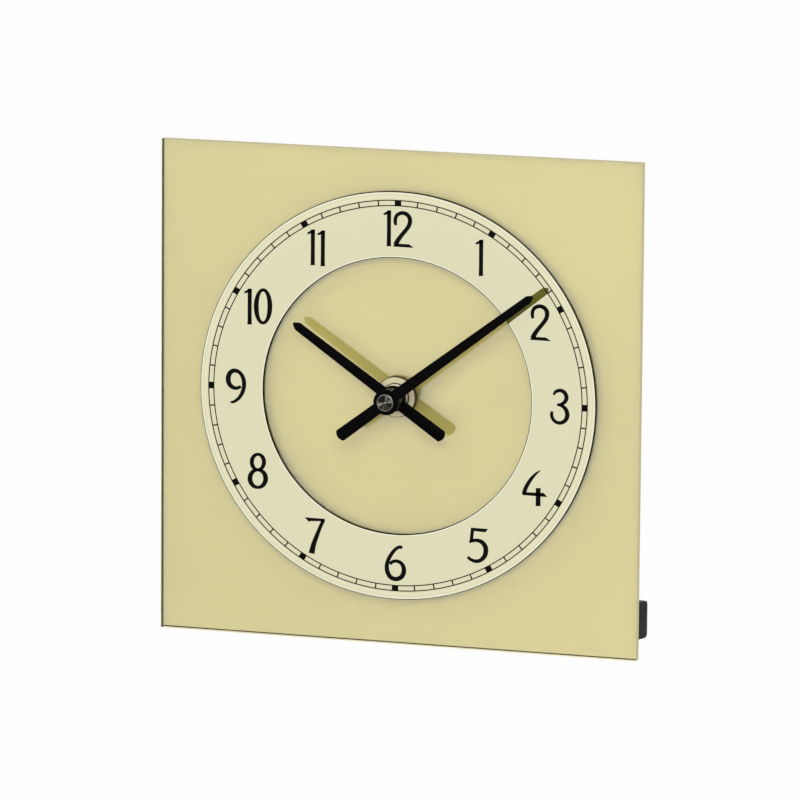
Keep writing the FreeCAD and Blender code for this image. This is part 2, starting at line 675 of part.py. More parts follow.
# Setting knob with a ribbed edge. Its stem and pinion reach through the movement to the minute wheel.
knob = body("setting_knob", KNOB_X, HOUSING, plus("AxisHeight", KNOB_Z), KNOB_TURN)
KNOB_FRONT = plus(HOUSING_DEPTH, "KnobLift")
turned(knob, "knob_profile", less("Wall", "StemSunk", "-ContactGap"), [
    ("StemPivot", less(CANNON_FRONT, "LeafMargin")),
    (root("Leaf", "KnobTeeth", "MotionModule"), CANNON_BACK),
    ("StemDiameter", KNOB_FRONT),
    ("(KnobDiameter - 2 * KnobRib)", plus(KNOB_FRONT, "KnobThick"))])
toothed("Leaf", knob, "knob_leaf", "KnobTeeth", "MotionModule", less(CANNON_FRONT, "LeafMargin"),
        plus("CannonLong", "LeafMargin"))
rib = sketch(knob, "knob_rib", place=KNOB_FRONT)
RIB_LOW = "(KnobDiameter / 2 - 2 * KnobRib)"
outline(rib, [
    ("-KnobRibFoot / 2", RIB_LOW), ("KnobRibFoot / 2", RIB_LOW),
    ("KnobRibTip / 2", "KnobDiameter / 2"), ("-KnobRibTip / 2", "KnobDiameter / 2")])
around(knob, pad(knob, rib, "KnobThick"), "knob_ribs", "KnobRibs")


# Centre wheel, gripped by the arbor so that the hands can be set without turning the train.
centre_wheel = body("centre_wheel", depth=HOUSING, turn=CENTRE_TURN)
turned(centre_wheel, "centre_wheel_profile", CENTRE_FRONT,
       [(root("Tooth", "CentreTeeth", CENTRE_MODULE), CENTRE_BACK)], bore=plus("ArborBack", "2 * ClutchGap"))
toothed("Tooth", centre_wheel, "centre_tooth", "CentreTeeth", CENTRE_MODULE, CENTRE_FRONT, "WheelThick")


def train_wheel(name, x, z, turn, front, pinion, leaves, pinion_module, mate, count, module, level):
    """A moulded wheel with its pinion in front of it, on one thin arbor up to the bearing in the rear cover.

    The mate is the level of the wheel that the pinion meets.
    """
    piece = body(name + "_wheel", x, HOUSING, plus("AxisHeight", z), turn)
    leaf_front = less(mate, "LeafMargin")
    turned(piece, name + "_profile", front, [
        ("PivotDiameter", leaf_front),
        (root("Leaf", leaves, pinion_module), level),
        (root("Tooth", count, module), plus(level, "WheelThick")),
        ("PivotDiameter", ARBOR_BACK)])
    toothed("Tooth", piece, name + "_tooth", count, module, level, "WheelThick")
    toothed("Leaf", piece, pinion, leaves, pinion_module, leaf_front, LEAF_LONG)


# Third, seconds and intermediate wheels. The seconds arbor turns in the minute arbor, the others in the
# plate.
TRAIN_FRONT = plus(PLATE_FRONT, "ArborEnd")
SECONDS_ARBOR_FRONT = plus(CLUTCH_BACK, "-ArborBoreDeep", "ArborEnd")
train_wheel("third", THIRD_X, THIRD_Z, THIRD_TURN, TRAIN_FRONT,
            "third_leaf", "ThirdPinionTeeth", CENTRE_MODULE, CENTRE_FRONT,
            "ThirdTeeth", "TrainModule", THIRD_FRONT)
train_wheel("seconds", "0", "0", SECONDS_TURN, SECONDS_ARBOR_FRONT,
            "seconds_leaf", "SecondsPinionTeeth", "TrainModule", THIRD_FRONT,
            "SecondsTeeth", "MiddleModule", SECONDS_FRONT)
train_wheel("intermediate", MIDDLE_X, MIDDLE_Z, MIDDLE_TURN, TRAIN_FRONT,
            "middle_leaf", "MiddlePinionTeeth", "MiddleModule", SECONDS_FRONT,
            "MiddleTeeth", "RotorModule", MIDDLE_FRONT)

# Rotor of the stepping motor: a pinion on its arbor and a round magnet.
rotor = body("rotor_pinion", ROTOR_X, HOUSING, plus("AxisHeight", ROTOR_Z))
turned(rotor, "rotor_profile", TRAIN_FRONT, [
    ("PivotDiameter", less(MIDDLE_FRONT, "LeafMargin")),
    (root("Leaf", "RotorTeeth", "RotorModule"), plus(MIDDLE_BACK, "LeafMargin")),
    ("PivotDiameter", ARBOR_BACK)])
toothed("Leaf", rotor, "rotor_leaf", "RotorTeeth", "RotorModule", less(MIDDLE_FRONT, "LeafMargin"),
        LEAF_LONG)
magnet = body("rotor_magnet", ROTOR_X, HOUSING, plus("AxisHeight", ROTOR_Z))
turned(magnet, "magnet_profile", MAGNET_FRONT, [("MagnetDiameter", MAGNET_BACK)],
       bore=plus("PivotDiameter", "2 * FitGap"))

# Stator: a soft iron plate with an eye round the magnet and two legs up to the ends of the coil's core.
stator = body("stator", depth=HOUSING)
plan = sketch(stator, "stator_outline", place=STATOR_FRONT)
ARM_LOW = less(ROTOR_Z, "StatorArm / 2")
ARM_TOP = plus(ROTOR_Z, "StatorArm / 2")
LEG_TOP = plus(COIL_Z, "StatorOver")
outline(plan, [
    (CORE_LEFT, ARM_LOW), (CORE_RIGHT, ARM_LOW), (CORE_RIGHT, LEG_TOP),
    (less(CORE_RIGHT, "StatorLeg"), LEG_TOP), (less(CORE_RIGHT, "StatorLeg"), ARM_TOP),
    (plus(CORE_LEFT, "StatorLeg"), ARM_TOP), (plus(CORE_LEFT, "StatorLeg"), LEG_TOP), (CORE_LEFT, LEG_TOP)])
pad(stator, plan, "StatorThick")
plan = sketch(stator, "stator_eye", place=STATOR_FRONT)
STATOR_HOLE = plus("MagnetDiameter", "2 * MagnetGap")
square(plan, ROTOR_X, ROTOR_Z, plus(STATOR_HOLE, "2 * StatorRing"))
pad(stator, plan, "StatorThick")
plan = sketch(stator, "stator_hole", place=STATOR_FRONT)
circle(plan, ROTOR_X, ROTOR_Z, STATOR_HOLE)
pocket(stator, plan, "StatorThick")

# Coil: a flat iron core that lies on the stator's legs, a bobbin with two flanges, and the winding.
core = body("coil_core", depth=HOUSING)
plan = sketch(core, "core_outline", place=less(STATOR_FRONT, "CoreThick"))
box(plan, CORE_LEFT, less(COIL_Z, "CoreHigh / 2"), CORE_RIGHT, plus(COIL_Z, "CoreHigh / 2"))
pad(core, plan, "CoreThick")
BOBBIN_LEFT = less("(%s + %s) / 2" % (CORE_LEFT, CORE_RIGHT), "BobbinLong / 2")
BOBBIN_RIGHT = plus(BOBBIN_LEFT, "BobbinLong")


def sleeve(piece, name, left, right, half_deep, half_high, hole_deep=None, hole_high=None):
    """A rectangular block about the coil's axis, from left to right, open for what lies inside it."""
    plan = sketch(piece, name + "_block", place=less(COIL_DEPTH, half_deep))
    box(plan, left, less(COIL_Z, half_high), right, plus(COIL_Z, half_high))
    pad(piece, plan, "(2 * %s)" % half_deep)
    if hole_deep:
        plan = sketch(piece, name + "_room", place=less(COIL_DEPTH, hole_deep))
        box(plan, left, less(COIL_Z, hole_high), right, plus(COIL_Z, hole_high))
        pocket(piece, plan, "(2 * %s)" % hole_deep)


CORE_ROOM = (plus("CoreThick / 2", "CoreFit"), plus("CoreHigh / 2", "CoreFit"))
TUBE = tuple(plus(half, "BobbinWall") for half in CORE_ROOM)
WOUND_ROOM = tuple(plus(half, "WindingGap") for half in TUBE)
bobbin = body("coil_bobbin", depth=HOUSING)
sleeve(bobbin, "left_flange", BOBBIN_LEFT, plus(BOBBIN_LEFT, "BobbinFlange"), HALF_FLANGE, HALF_FLANGE)
sleeve(bobbin, "right_flange", less(BOBBIN_RIGHT, "BobbinFlange"), BOBBIN_RIGHT, HALF_FLANGE, HALF_FLANGE)
sleeve(bobbin, "tube", BOBBIN_LEFT, BOBBIN_RIGHT, *TUBE, *CORE_ROOM)
winding = body("coil_winding", depth=HOUSING)
HALF_WOUND = less(HALF_FLANGE, "WindingSunk")
sleeve(winding, "winding", plus(BOBBIN_LEFT, "BobbinFlange", "WindingGap"),
       less(BOBBIN_RIGHT, "BobbinFlange", "WindingGap"), HALF_WOUND, HALF_WOUND, *WOUND_ROOM)

# Circuit board on its posts, with the chip's drop of potting and the crystal's can on its front.
board = body("circuit_board", depth=HOUSING)
plan = sketch(board, "board_outline", place=BOARD_FRONT)
box(plan, BOARD_LEFT, less(BOARD_TOP, "BoardHigh"), BOARD_RIGHT, BOARD_TOP)
pad(board, plan, "BoardThick")
chip = body("clock_chip", depth=HOUSING)
plan = sketch(chip, "chip_outline", place=less(BOARD_FRONT, "ChipThick"))
CHIP_RIGHT = less(BOARD_RIGHT, "ChipInset")
CHIP_LOW = less(BOARD_TOP, "BoardHigh / 2", "ChipSide / 2")
box(plan, less(CHIP_RIGHT, "ChipSide"), CHIP_LOW, CHIP_RIGHT, plus(CHIP_LOW, "ChipSide"))
pad(chip, plan, "ChipThick")
crystal = body("quartz_crystal", plus(BOARD_LEFT, "CrystalInset"),
               plus(HOUSING, BOARD_FRONT, "-CrystalDiameter / 2", "-WindingGap"),
               plus("AxisHeight", BOARD_TOP, "-BoardHigh / 2"))
turned(crystal, "crystal_profile", "-CrystalLong / 2", [("CrystalDiameter", "CrystalLong / 2")],
       along="H_Axis")

# Battery, lying across with the positive nub to the right.
battery = body("battery", depth=plus(HOUSING, BATTERY_DEPTH), z=plus("AxisHeight", BATTERY_Z))
turned(battery, "battery_profile", "-BatteryLong / 2",
       [("BatteryDiameter", "BatteryLong / 2 - NubHigh"), ("NubDiameter", "BatteryLong / 2")],
       along="H_Axis")

# Contacts: spring strips on edge. The positive one starts at the nub, runs back over the separating wall and
# climbs to the board. The negative one is bowed against the flat end of the battery and climbs there too.
STRIP_FRONT = less(BOARD_FRONT, "ContactWide")
BOARD_FOOT = plus(less(BOARD_TOP, "BoardHigh"), "ContactOnBoard")
plus_strip = body("contact_plus", depth=HOUSING)
plan = sketch(plus_strip, "plus_outline", place=STRIP_FRONT)
PLUS_X = plus("BatteryLong / 2", "ContactGap")
PLUS_LEFT = less("0", SEPARATOR_END)
outline(plan, [
    (PLUS_X, less(BATTERY_Z, "ContactReach")),
    (plus(PLUS_X, "ContactThick"), less(BATTERY_Z, "ContactReach")),
    (plus(PLUS_X, "ContactThick"), plus(SEPARATOR_TOP, "ContactThick")),
    (plus(PLUS_LEFT, "ContactThick"), plus(SEPARATOR_TOP, "ContactThick")),
    (plus(PLUS_LEFT, "ContactThick"), BOARD_FOOT),
    (PLUS_LEFT, BOARD_FOOT),
    (PLUS_LEFT, SEPARATOR_TOP),
    (PLUS_X, SEPARATOR_TOP)])
pad(plus_strip, plan, "ContactWide")
minus_strip = body("contact_minus", depth=HOUSING)
plan = sketch(minus_strip, "minus_outline", place=STRIP_FRONT)
MINUS_X = less("ContactGap", INNER_X)
BOW_X = less("0", "BatteryLong / 2", "ContactGap / 2")
outline(plan, [
    (MINUS_X, less(BATTERY_Z, "ContactReach")),
    (plus(MINUS_X, "ContactThick"), less(BATTERY_Z, "ContactReach")),
    (BOW_X, BATTERY_Z),
    (plus(MINUS_X, "ContactThick"), plus(BATTERY_Z, "ContactReach")),
    (plus(MINUS_X, "ContactThick"), BOARD_FOOT),
    (MINUS_X, BOARD_FOOT),
    (MINUS_X, plus(BATTERY_Z, "ContactReach")),
    (less(BOW_X, "ContactThick"), BATTERY_Z)])
pad(minus_strip, plan, "ContactWide")


def hand(name, turn, long, tip_wide, tail, tail_wide, proud, neck):
    """A flat hand: a long taper from its rounded tail to a cut tip, a round boss and a hole for its bush."""
    piece = body(name, turn=turn)
    back = less("0", proud, "HandThick")
    blade = sketch(piece, name + "_outline", place=back)
    outline(blade, [
        ("TipFlat / 2", long),
        ("-TipFlat / 2", long),
        ("-%s / 2" % tip_wide, less(long, "TipSlope")),
        ("-%s / 2" % tail_wide, less("0", tail)),
        ("%s / 2" % tail_wide, less("0", tail)),
        ("%s / 2" % tip_wide, less(long, "TipSlope"))], {3: "TailRound"})
    pad(piece, blade, "HandThick")
    boss = sketch(piece, name + "_boss", place=back)
    circle(boss, "0", "0", "HandBoss")
    pad(piece, boss, "HandThick")
    hole = sketch(piece, name + "_hole", place=back)
    circle(hole, "0", "0", plus(neck, "2 * FitGap"))
    pocket(piece, hole, "HandThick")
    return piece


# Hands, cut from black sheet.
hand("hour_hand", "HourAngle", "HourLong", "HourTipWide", "HourTail", "HourTailWide",
     "HourHandProud", "HubCollar")
hand("minute_hand", "MinuteAngle", "MinuteLong", "MinuteTipWide", "MinuteTail", "MinuteTailWide",
     "MinuteHandProud", "MinuteNeck")

# Bushes of the hands. The hour hand's is gripped on the pipe, with a flange behind the hand and a collar
# that fills the space up to the minute hand's bush, which is gripped on the arbor.
HOUR_HUB_BACK = less("0", "BushProud", "HubGap")
MINUTE_HUB_BACK = less("MinuteCollarLong", "MinuteHandProud")
hour_hub = body("hour_hand_hub")
turned(hour_hub, "hour_hub_profile", plus(MINUTE_HUB_BACK, "HubGap"), [
    ("HubCollar", "-HourHandProud"),
    ("HandBoss", HOUR_HUB_BACK)],
    bore=plus(PIPE_DIAMETER, "2 * FitGap"))
minute_hub = body("minute_hand_hub")
turned(minute_hub, "minute_hub_profile", less("0", "MinuteHandProud", "HandThick"), [
    ("MinuteNeck", "-MinuteHandProud"),
    ("HubCollar", MINUTE_HUB_BACK)],
    bore=plus("ArborDiameter", "2 * FitGap"))

# Small turned cap on the end of the arbor.
cap = body("cap_nut")
CAP_BACK = less("0", "MinuteHandProud", "HandThick")
CAP_BORE = plus("ArborDiameter", "2 * FitGap")
CAP_DEEP = less(CAP_BACK, "ArborProud", "CapRoom")
turned_outline(cap, "cap_profile", [
    ("0", less("0", CAP_FRONT)),
    ("CapDiameter / 2", less("0", CAP_FRONT)),
    ("CapDiameter / 2", CAP_BACK),
    (CAP_BORE + " / 2", CAP_BACK),
    (CAP_BORE + " / 2", CAP_DEEP),
    ("0", CAP_DEEP)])


# Stand: one flat strip on edge, glued behind the plate, whose ends are bent back and slightly outwards.
stand = body("stand_bracket", z="0")
plan = sketch(stand, "strip_outline", "XY_Plane")
STAND_HALF = "(PlateSide / 2 - StandInset)"
STRIP_FRONT_FACE = plus("GlassThick", "CoatingThick", "PadThick")
STRIP_BACK_FACE = plus(STRIP_FRONT_FACE, "StripThick")
END_DEPTH = less("StandDepth", "StripThick * sin(SplayAngle)")
END_X = plus(STAND_HALF, "%s * tan(SplayAngle)" % less(END_DEPTH, STRIP_FRONT_FACE))
INNER_END_X = less(END_X, "StripThick * cos(SplayAngle)")
BEND_X = plus(STAND_HALF, "StripThick * tan(SplayAngle)", "-StripThick / cos(SplayAngle)")
outline(plan, [
    (less("0", STAND_HALF), STRIP_FRONT_FACE), (STAND_HALF, STRIP_FRONT_FACE),
    (END_X, END_DEPTH), (INNER_END_X, "StandDepth"),
    (BEND_X, STRIP_BACK_FACE), (less("0", BEND_X), STRIP_BACK_FACE),
    (less("0", INNER_END_X), "StandDepth"), (less("0", END_X), END_DEPTH)])
pad(stand, plan, "StandHigh")


def upright_at(depth):
    """Chooser for the upright edges at a depth."""
    near = value("StripThick / 4")
    return lambda edge: runs(edge, UP) and abs(edge.Vertexes[0].Point.y - value(depth)) < near


finish(stand, "Fillet", "outer_bend", "(BendRadius + StripThick)", upright_at(STRIP_FRONT_FACE))
finish(stand, "Fillet", "inner_bend", "BendRadius", upright_at(STRIP_BACK_FACE))

# Adhesive pads between the strip and the coated glass.
PAD_PLACE = less(STAND_HALF, "PadInset", "PadLong / 2")
for side, place in (("left", less("0", PAD_PLACE)), ("right", PAD_PLACE)):
    adhesive_pad = body("stand_pad_" + side, place, plus("GlassThick", "CoatingThick"), "PadRise")
    plan = sketch(adhesive_pad, side + "_pad_outline")
    box(plan, "-PadLong / 2", "0", "PadLong / 2", "PadHigh")
    pad(adhesive_pad, plan, "PadThick")


doc.recompute()
for thing in doc.Objects:
    if "Invalid" in thing.State or "Error" in thing.State:
        raise RuntimeError("could not be built: " + thing.Label)
for piece in PIECES:
    if piece.Shape.isNull() or not piece.Shape.isValid() or len(piece.Shape.Solids) != 1:
        raise RuntimeError("not one sound solid: " + piece.Label)
os.makedirs("parts", exist_ok=True)
for piece in PIECES:
    piece.Shape.exportStep("parts/%s.step" % piece.Label)
print("%d pieces" % len(PIECES))
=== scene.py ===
import math

import bmesh
import bpy
from mathutils import Matrix, Vector


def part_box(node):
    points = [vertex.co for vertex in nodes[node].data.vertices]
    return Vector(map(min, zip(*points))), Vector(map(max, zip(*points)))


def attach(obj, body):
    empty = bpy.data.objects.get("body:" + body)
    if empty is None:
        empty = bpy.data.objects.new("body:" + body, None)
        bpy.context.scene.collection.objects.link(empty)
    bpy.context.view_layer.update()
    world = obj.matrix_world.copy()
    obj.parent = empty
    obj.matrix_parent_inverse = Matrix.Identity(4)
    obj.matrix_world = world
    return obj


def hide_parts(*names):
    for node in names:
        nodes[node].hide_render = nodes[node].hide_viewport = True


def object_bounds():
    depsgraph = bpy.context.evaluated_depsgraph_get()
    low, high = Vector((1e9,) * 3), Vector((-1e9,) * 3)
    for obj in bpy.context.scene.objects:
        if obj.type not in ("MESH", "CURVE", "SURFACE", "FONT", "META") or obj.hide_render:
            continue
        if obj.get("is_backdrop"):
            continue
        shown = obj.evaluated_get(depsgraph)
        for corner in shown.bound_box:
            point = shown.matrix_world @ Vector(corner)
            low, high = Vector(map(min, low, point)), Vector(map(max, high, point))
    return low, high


# A small table clock: a square glass plate, gold behind, with a metal numeral ring, a hung movement and two
# black hands. Metres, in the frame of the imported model: X to the right, Y to the back, Z up.
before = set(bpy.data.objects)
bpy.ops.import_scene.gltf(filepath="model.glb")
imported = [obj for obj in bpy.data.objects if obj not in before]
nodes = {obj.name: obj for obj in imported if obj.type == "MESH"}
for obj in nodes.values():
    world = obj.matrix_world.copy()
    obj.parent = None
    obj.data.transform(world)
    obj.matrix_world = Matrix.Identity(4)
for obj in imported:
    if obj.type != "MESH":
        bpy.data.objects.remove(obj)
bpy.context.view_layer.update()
scene = bpy.context.scene


# Camera: a long lens, a little to the right of the clock and above it, level apart from a slight lean.
# The picture's middle lies beside and above the middle of the numeral ring.
azimuth, elevation, lean = (math.radians(a) for a in (17.20, 10.157, 0.446))
distance, middle_right, middle_down = 2.0193, -0.000976, -0.000968
focal_pixels, picture_pixels = 7229.9, 800
axis_z = sum(c.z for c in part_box("chapter_ring")) / 2
ring_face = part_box("chapter_ring")[0].y
towards = Vector((math.sin(azimuth) * math.cos(elevation), -math.cos(azimuth) * math.cos(elevation),
                  math.sin(elevation)))
level_right = Vector((math.cos(azimuth), math.sin(azimuth), 0))
level_up = level_right.cross(-towards)
right = math.cos(lean) * level_right + math.sin(lean) * level_up
up = math.cos(lean) * level_up - math.sin(lean) * level_right
camera_data = bpy.data.cameras.new("camera")
camera_data.sensor_width = 36
camera_data.lens = focal_pixels / picture_pixels * camera_data.sensor_width
camera_data.clip_start = 0.1
camera_data.clip_end = 50
camera = bpy.data.objects.new("camera", camera_data)
scene.collection.objects.link(camera)
spot = Vector((0, ring_face, axis_z)) - middle_right * right + middle_down * up + distance * towards
camera.matrix_world = Matrix.Translation(spot) @ Matrix((right, up, towards)).transposed().to_4x4()
scene.camera = camera
scene.view_settings.view_transform = "Standard"


# Room: a white floor in white surroundings, with two large soft lamps before the clock, on its right and on
# its left, and one behind. The floor shows almost white to the camera and in gloss, and keeps a faint shadow.
WHITE = (1, 1, 1, 1)
floor_reach, floor_glow, fill_light = 6, 0.97, 0.25
lamp_target = Vector((0, 0, 0.07))


def new_material(name):
    """An empty material, its node tree, its Principled shader and its output."""
    made = bpy.data.materials.new(name)
    made.use_nodes = True
    tree = made.node_tree
    return made, tree, tree.nodes["Principled BSDF"], tree.nodes["Material Output"]


def feed(tree, socket, value):
    """Give an input a number, a colour or another node's output."""
    if isinstance(value, bpy.types.NodeSocket):
        tree.links.new(value, socket)
    else:
        socket.default_value = (*value, 1) if isinstance(value, tuple) else value


def computed(tree, operation, *values):
    """What a Math node makes of its values, each a number or an output."""
    node = tree.nodes.new("ShaderNodeMath")
    node.operation = operation
    for socket, value in zip(node.inputs, values):
        feed(tree, socket, value)
    return node.outputs[0]


def linked(tree, kind, **values):
    """A new node with its named inputs fed, a _ in their names for each space."""
    node = tree.nodes.new(kind)
    for label, value in values.items():
        feed(tree, node.inputs[label.replace("_", " ")], value)
    return node


def ranged(tree, value, **limits):
    """A value brought from one range to another."""
    return linked(tree, "ShaderNodeMapRange", Value=value, **limits).outputs["Result"]


def shown_directly(tree):
    """1 for rays from the camera, in gloss and through glass, 0 for light that spreads."""
    seen = tree.nodes.new("ShaderNodeLightPath")
    either = computed(tree, "MAXIMUM", seen.outputs["Is Camera Ray"], seen.outputs["Is Glossy Ray"])
    return computed(tree, "MAXIMUM", either, seen.outputs["Is Transmission Ray"])


def put_mixed(tree, output, share, first, second):
    """Put a mix of two shaders on a material's output."""
    mixed = tree.nodes.new("ShaderNodeMixShader")
    feed(tree, mixed.inputs["Fac"], share)
    tree.links.new(first, mixed.inputs[1])
    tree.links.new(second, mixed.inputs[2])
    tree.links.new(mixed.outputs["Shader"], output.inputs["Surface"])


def soft_lamp(name, place, size, watts):
    """A square soft lamp that looks at the middle of the clock."""
    data = bpy.data.lights.new(name, "AREA")
    data.size = size
    data.energy = watts
    lamp = bpy.data.objects.new(name, data)
    scene.collection.objects.link(lamp)
    lamp.location = place
    lamp.rotation_mode = "QUATERNION"
    lamp.rotation_quaternion = (Vector(place) - lamp_target).to_track_quat("Z", "Y")


floor_mesh = bpy.data.meshes.new("floor")
corners = [(x * floor_reach, y * floor_reach, 0) for x, y in ((-1, -1), (1, -1), (1, 1), (-1, 1))]
floor_mesh.from_pydata(corners, [], [(0, 1, 2, 3)])
floor = bpy.data.objects.new("floor", floor_mesh)
scene.collection.objects.link(floor)
paper, tree, shader, output = new_material("white_paper")
shader.inputs["Base Color"].default_value = (0.86, 0.86, 0.86, 1)
shader.inputs["Roughness"].default_value = 0.9
shader.inputs["Specular IOR Level"].default_value = 0.1
glow = tree.nodes.new("ShaderNodeEmission")
glow.inputs["Color"].default_value = WHITE
put_mixed(tree, output, computed(tree, "MULTIPLY", shown_directly(tree), floor_glow), shader.outputs["BSDF"],
          glow.outputs["Emission"])
floor_mesh.materials.append(paper)
floor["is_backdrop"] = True
world = bpy.data.worlds.new("white_room")
scene.world = world
world.use_nodes = True
tree = world.node_tree
backdrop = tree.nodes["Background"]
backdrop.inputs["Color"].default_value = WHITE
tree.links.new(ranged(tree, shown_directly(tree), To_Min=fill_light, To_Max=1.0), backdrop.inputs["Strength"])
soft_lamp("lamp_front", (0.5, -2.2, 0.9), 1.0, 30)
soft_lamp("lamp_left", (-1.5, -1.3, 1.6), 1.2, 12)
soft_lamp("lamp_back", (1.7, 1.2, 1.3), 0.9, 18)


# Glass plate: 3 mm of clear float glass with ground edges and one hole. It is cut from a coated sheet, whose
# front reflects more than bare glass, apart from a strip at the left and at the lower edge. The mesh ends a
# hair before the lacquer behind.
MM = 0.001
HAIR = 0.02 * MM
bare_strip = 0.75 * MM
light_let_through = (0.9, 0.92, 0.9, 1)
plate_low, plate_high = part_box("glass_plate")


def merged(node):
    """A copy of a CAD node's mesh, its loose triangles joined and its flat faces made whole."""
    shape = bmesh.new()
    shape.from_mesh(nodes[node].data)
    bmesh.ops.remove_doubles(shape, verts=shape.verts, dist=0.002 * MM)
    bmesh.ops.dissolve_limit(shape, angle_limit=math.radians(1), verts=shape.verts, edges=shape.edges)
    return shape


def piece_from(shape, name, made, smooth=35):
    """A finished object from a bmesh, shaded smooth below an angle in degrees."""
    mesh = bpy.data.meshes.new(name)
    shape.to_mesh(mesh)
    shape.free()
    mesh.materials.clear()
    mesh.materials.append(made)
    mesh.shade_smooth()
    mesh.set_sharp_from_angle(angle=math.radians(smooth))
    piece = bpy.data.objects.new(name, mesh)
    scene.collection.objects.link(piece)
    return piece


def finished(piece, body, slot, *replaced):
    """Let a piece ride on its body and stand for CAD nodes, which it hides. The slot is not used."""
    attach(piece, body)
    if replaced:
        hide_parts(*replaced)


def group(name, inputs, outputs):
    """An empty shader group with named float sockets, and its two ends."""
    made = bpy.data.node_groups.new(name, "ShaderNodeTree")
    for label, value in inputs:
        made.interface.new_socket(label, in_out="INPUT", socket_type="NodeSocketFloat").default_value = value
    for label in outputs:
        made.interface.new_socket(label, in_out="OUTPUT", socket_type="NodeSocketFloat")
    return made, made.nodes.new("NodeGroupInput"), made.nodes.new("NodeGroupOutput")


def object_axes(tree):
    """Where a point lies in the clock's frame: its X, Y and Z, and all three as one vector."""
    where = tree.nodes.new("ShaderNodeTexCoord").outputs["Object"]
    parts = tree.nodes.new("ShaderNodeSeparateXYZ")
    tree.links.new(where, parts.inputs["Vector"])
    return *(parts.outputs[axis] for axis in "XYZ"), where


def noise(tree, place, scale, detail=2.0, roughness=0.5, line=False):
    """Soft noise in space, or along a line."""
    node = tree.nodes.new("ShaderNodeTexNoise")
    node.noise_dimensions = "1D" if line else "3D"
    tree.links.new(place, node.inputs["W" if line else "Vector"])
    feed(tree, node.inputs["Scale"], scale)
    node.inputs["Detail"].default_value = detail
    node.inputs["Roughness"].default_value = roughness
    return node.outputs["Fac"]


# Fine unevenness that every finish has: soft blotches for the colour and the gloss, and a fine grain for
# the height.
uneven, given, put = group("unevenness", [("Blotch Size", 200.0), ("Grain Size", 4000.0), ("Low", 0.3),
                                          ("High", 0.5)], ["Blotch", "Roughness", "Grain"])
where = object_axes(uneven)[-1]
blotch = noise(uneven, where, given.outputs["Blotch Size"], detail=4.0)
spread = ranged(uneven, blotch, From_Min=0.35, From_Max=0.65, To_Min=given.outputs["Low"],
                To_Max=given.outputs["High"])
grain = noise(uneven, where, given.outputs["Grain Size"])
for label, value in (("Blotch", blotch), ("Roughness", spread), ("Grain", grain)):
    uneven.links.new(value, put.inputs[label])


def placed(tree, kind, **values):
    """A shader group placed in a material with its own values."""
    node = tree.nodes.new("ShaderNodeGroup")
    node.node_tree = kind
    for label, value in values.items():
        node.inputs[label.replace("_", " ")].default_value = value
    return node


def blended(tree, mask, low, high):
    """A colour between two, by a mask."""
    mix = tree.nodes.new("ShaderNodeMix")
    mix.data_type = "RGBA"
    tree.links.new(mask, mix.inputs["Factor"])
    feed(tree, mix.inputs["A"], low)
    feed(tree, mix.inputs["B"], high)
    return mix.outputs["Result"]


def dressed(tree, shader, colour, surface, height, depth, metallic=0.0, specular=0.5):
    """Give a shader its colour, a surface's roughness, and a relief that is depth metres deep."""
    tree.links.new(colour, shader.inputs["Base Color"])
    tree.links.new(surface.outputs["Roughness"], shader.inputs["Roughness"])
    feed(tree, shader.inputs["Metallic"], metallic)
    shader.inputs["Specular IOR Level"].default_value = specular
    bump = linked(tree, "ShaderNodeBump", Height=height, Distance=depth)
    tree.links.new(bump.outputs["Normal"], shader.inputs["Normal"])


def open_to_lamps(tree, output, shader):
    """Let the light of the lamps through a surface of the glass, so that it falls on the lacquer behind."""
    through = tree.nodes.new("ShaderNodeBsdfTransparent")
    through.inputs["Color"].default_value = light_let_through
    put_mixed(tree, output, tree.nodes.new("ShaderNodeLightPath").outputs["Is Shadow Ray"],
              shader.outputs["BSDF"], through.outputs["BSDF"])


shape = merged("glass_plate")
for vertex in shape.verts:
    if vertex.co.y > plate_high.y - HAIR:
        vertex.co.y -= HAIR
clear, tree, shader, output = new_material("clear_glass")
shader.inputs["Base Color"].default_value = (0.97, 1.0, 0.975, 1)
shader.inputs["Transmission Weight"].default_value = 1.0
shader.inputs["IOR"].default_value = 1.5
at_x, at_y, at_z, where = object_axes(tree)
coated = computed(tree, "MULTIPLY", computed(tree, "GREATER_THAN", at_x, plate_low.x + bare_strip),
                  computed(tree, "GREATER_THAN", at_z, plate_low.z + bare_strip))
tree.links.new(coated, shader.inputs["Coat Weight"])
shader.inputs["Coat IOR"].default_value = 2.4
shader.inputs["Coat Roughness"].default_value = 0.13
surface = placed(tree, uneven, Blotch_Size=30.0, Grain_Size=900.0, Low=0.0, High=0.012)
tree.links.new(surface.outputs["Roughness"], shader.inputs["Roughness"])
open_to_lamps(tree, output, shader)
plate = piece_from(shape, "glass", clear, smooth=30)

# Its edges are ground and lapped by the lacquer: tan from outside, near black from inside the glass as
# painted shade.
ground, tree, shader, output = new_material("lapped_edge")
surface = placed(tree, uneven, Blotch_Size=60.0, Grain_Size=3000.0, Low=0.35, High=0.5)
side = tree.nodes.new("ShaderNodeNewGeometry")
from_outside = blended(tree, surface.outputs["Blotch"], (0.62, 0.55, 0.28), (0.70, 0.62, 0.33))
# The back faces of the edges are coloured near black as painted shade.
colour = blended(tree, side.outputs["Backfacing"], from_outside, (0.040, 0.026, 0.001))
dressed(tree, shader, colour, surface, surface.outputs["Grain"], 3e-6, specular=0.1)
open_to_lamps(tree, output, shader)
plate.data.materials.append(ground)


# Coating: champagne gold lacquer sprayed on the back of the glass and in full contact with it, so the back
# face of the glass shows it too. A grey-brown protective coat covers it behind.
def finish_nodes(made, *names):
    """Give a finish to CAD nodes that keep their own meshes."""
    for name in names:
        nodes[name].data.materials.clear()
        nodes[name].data.materials.append(made)


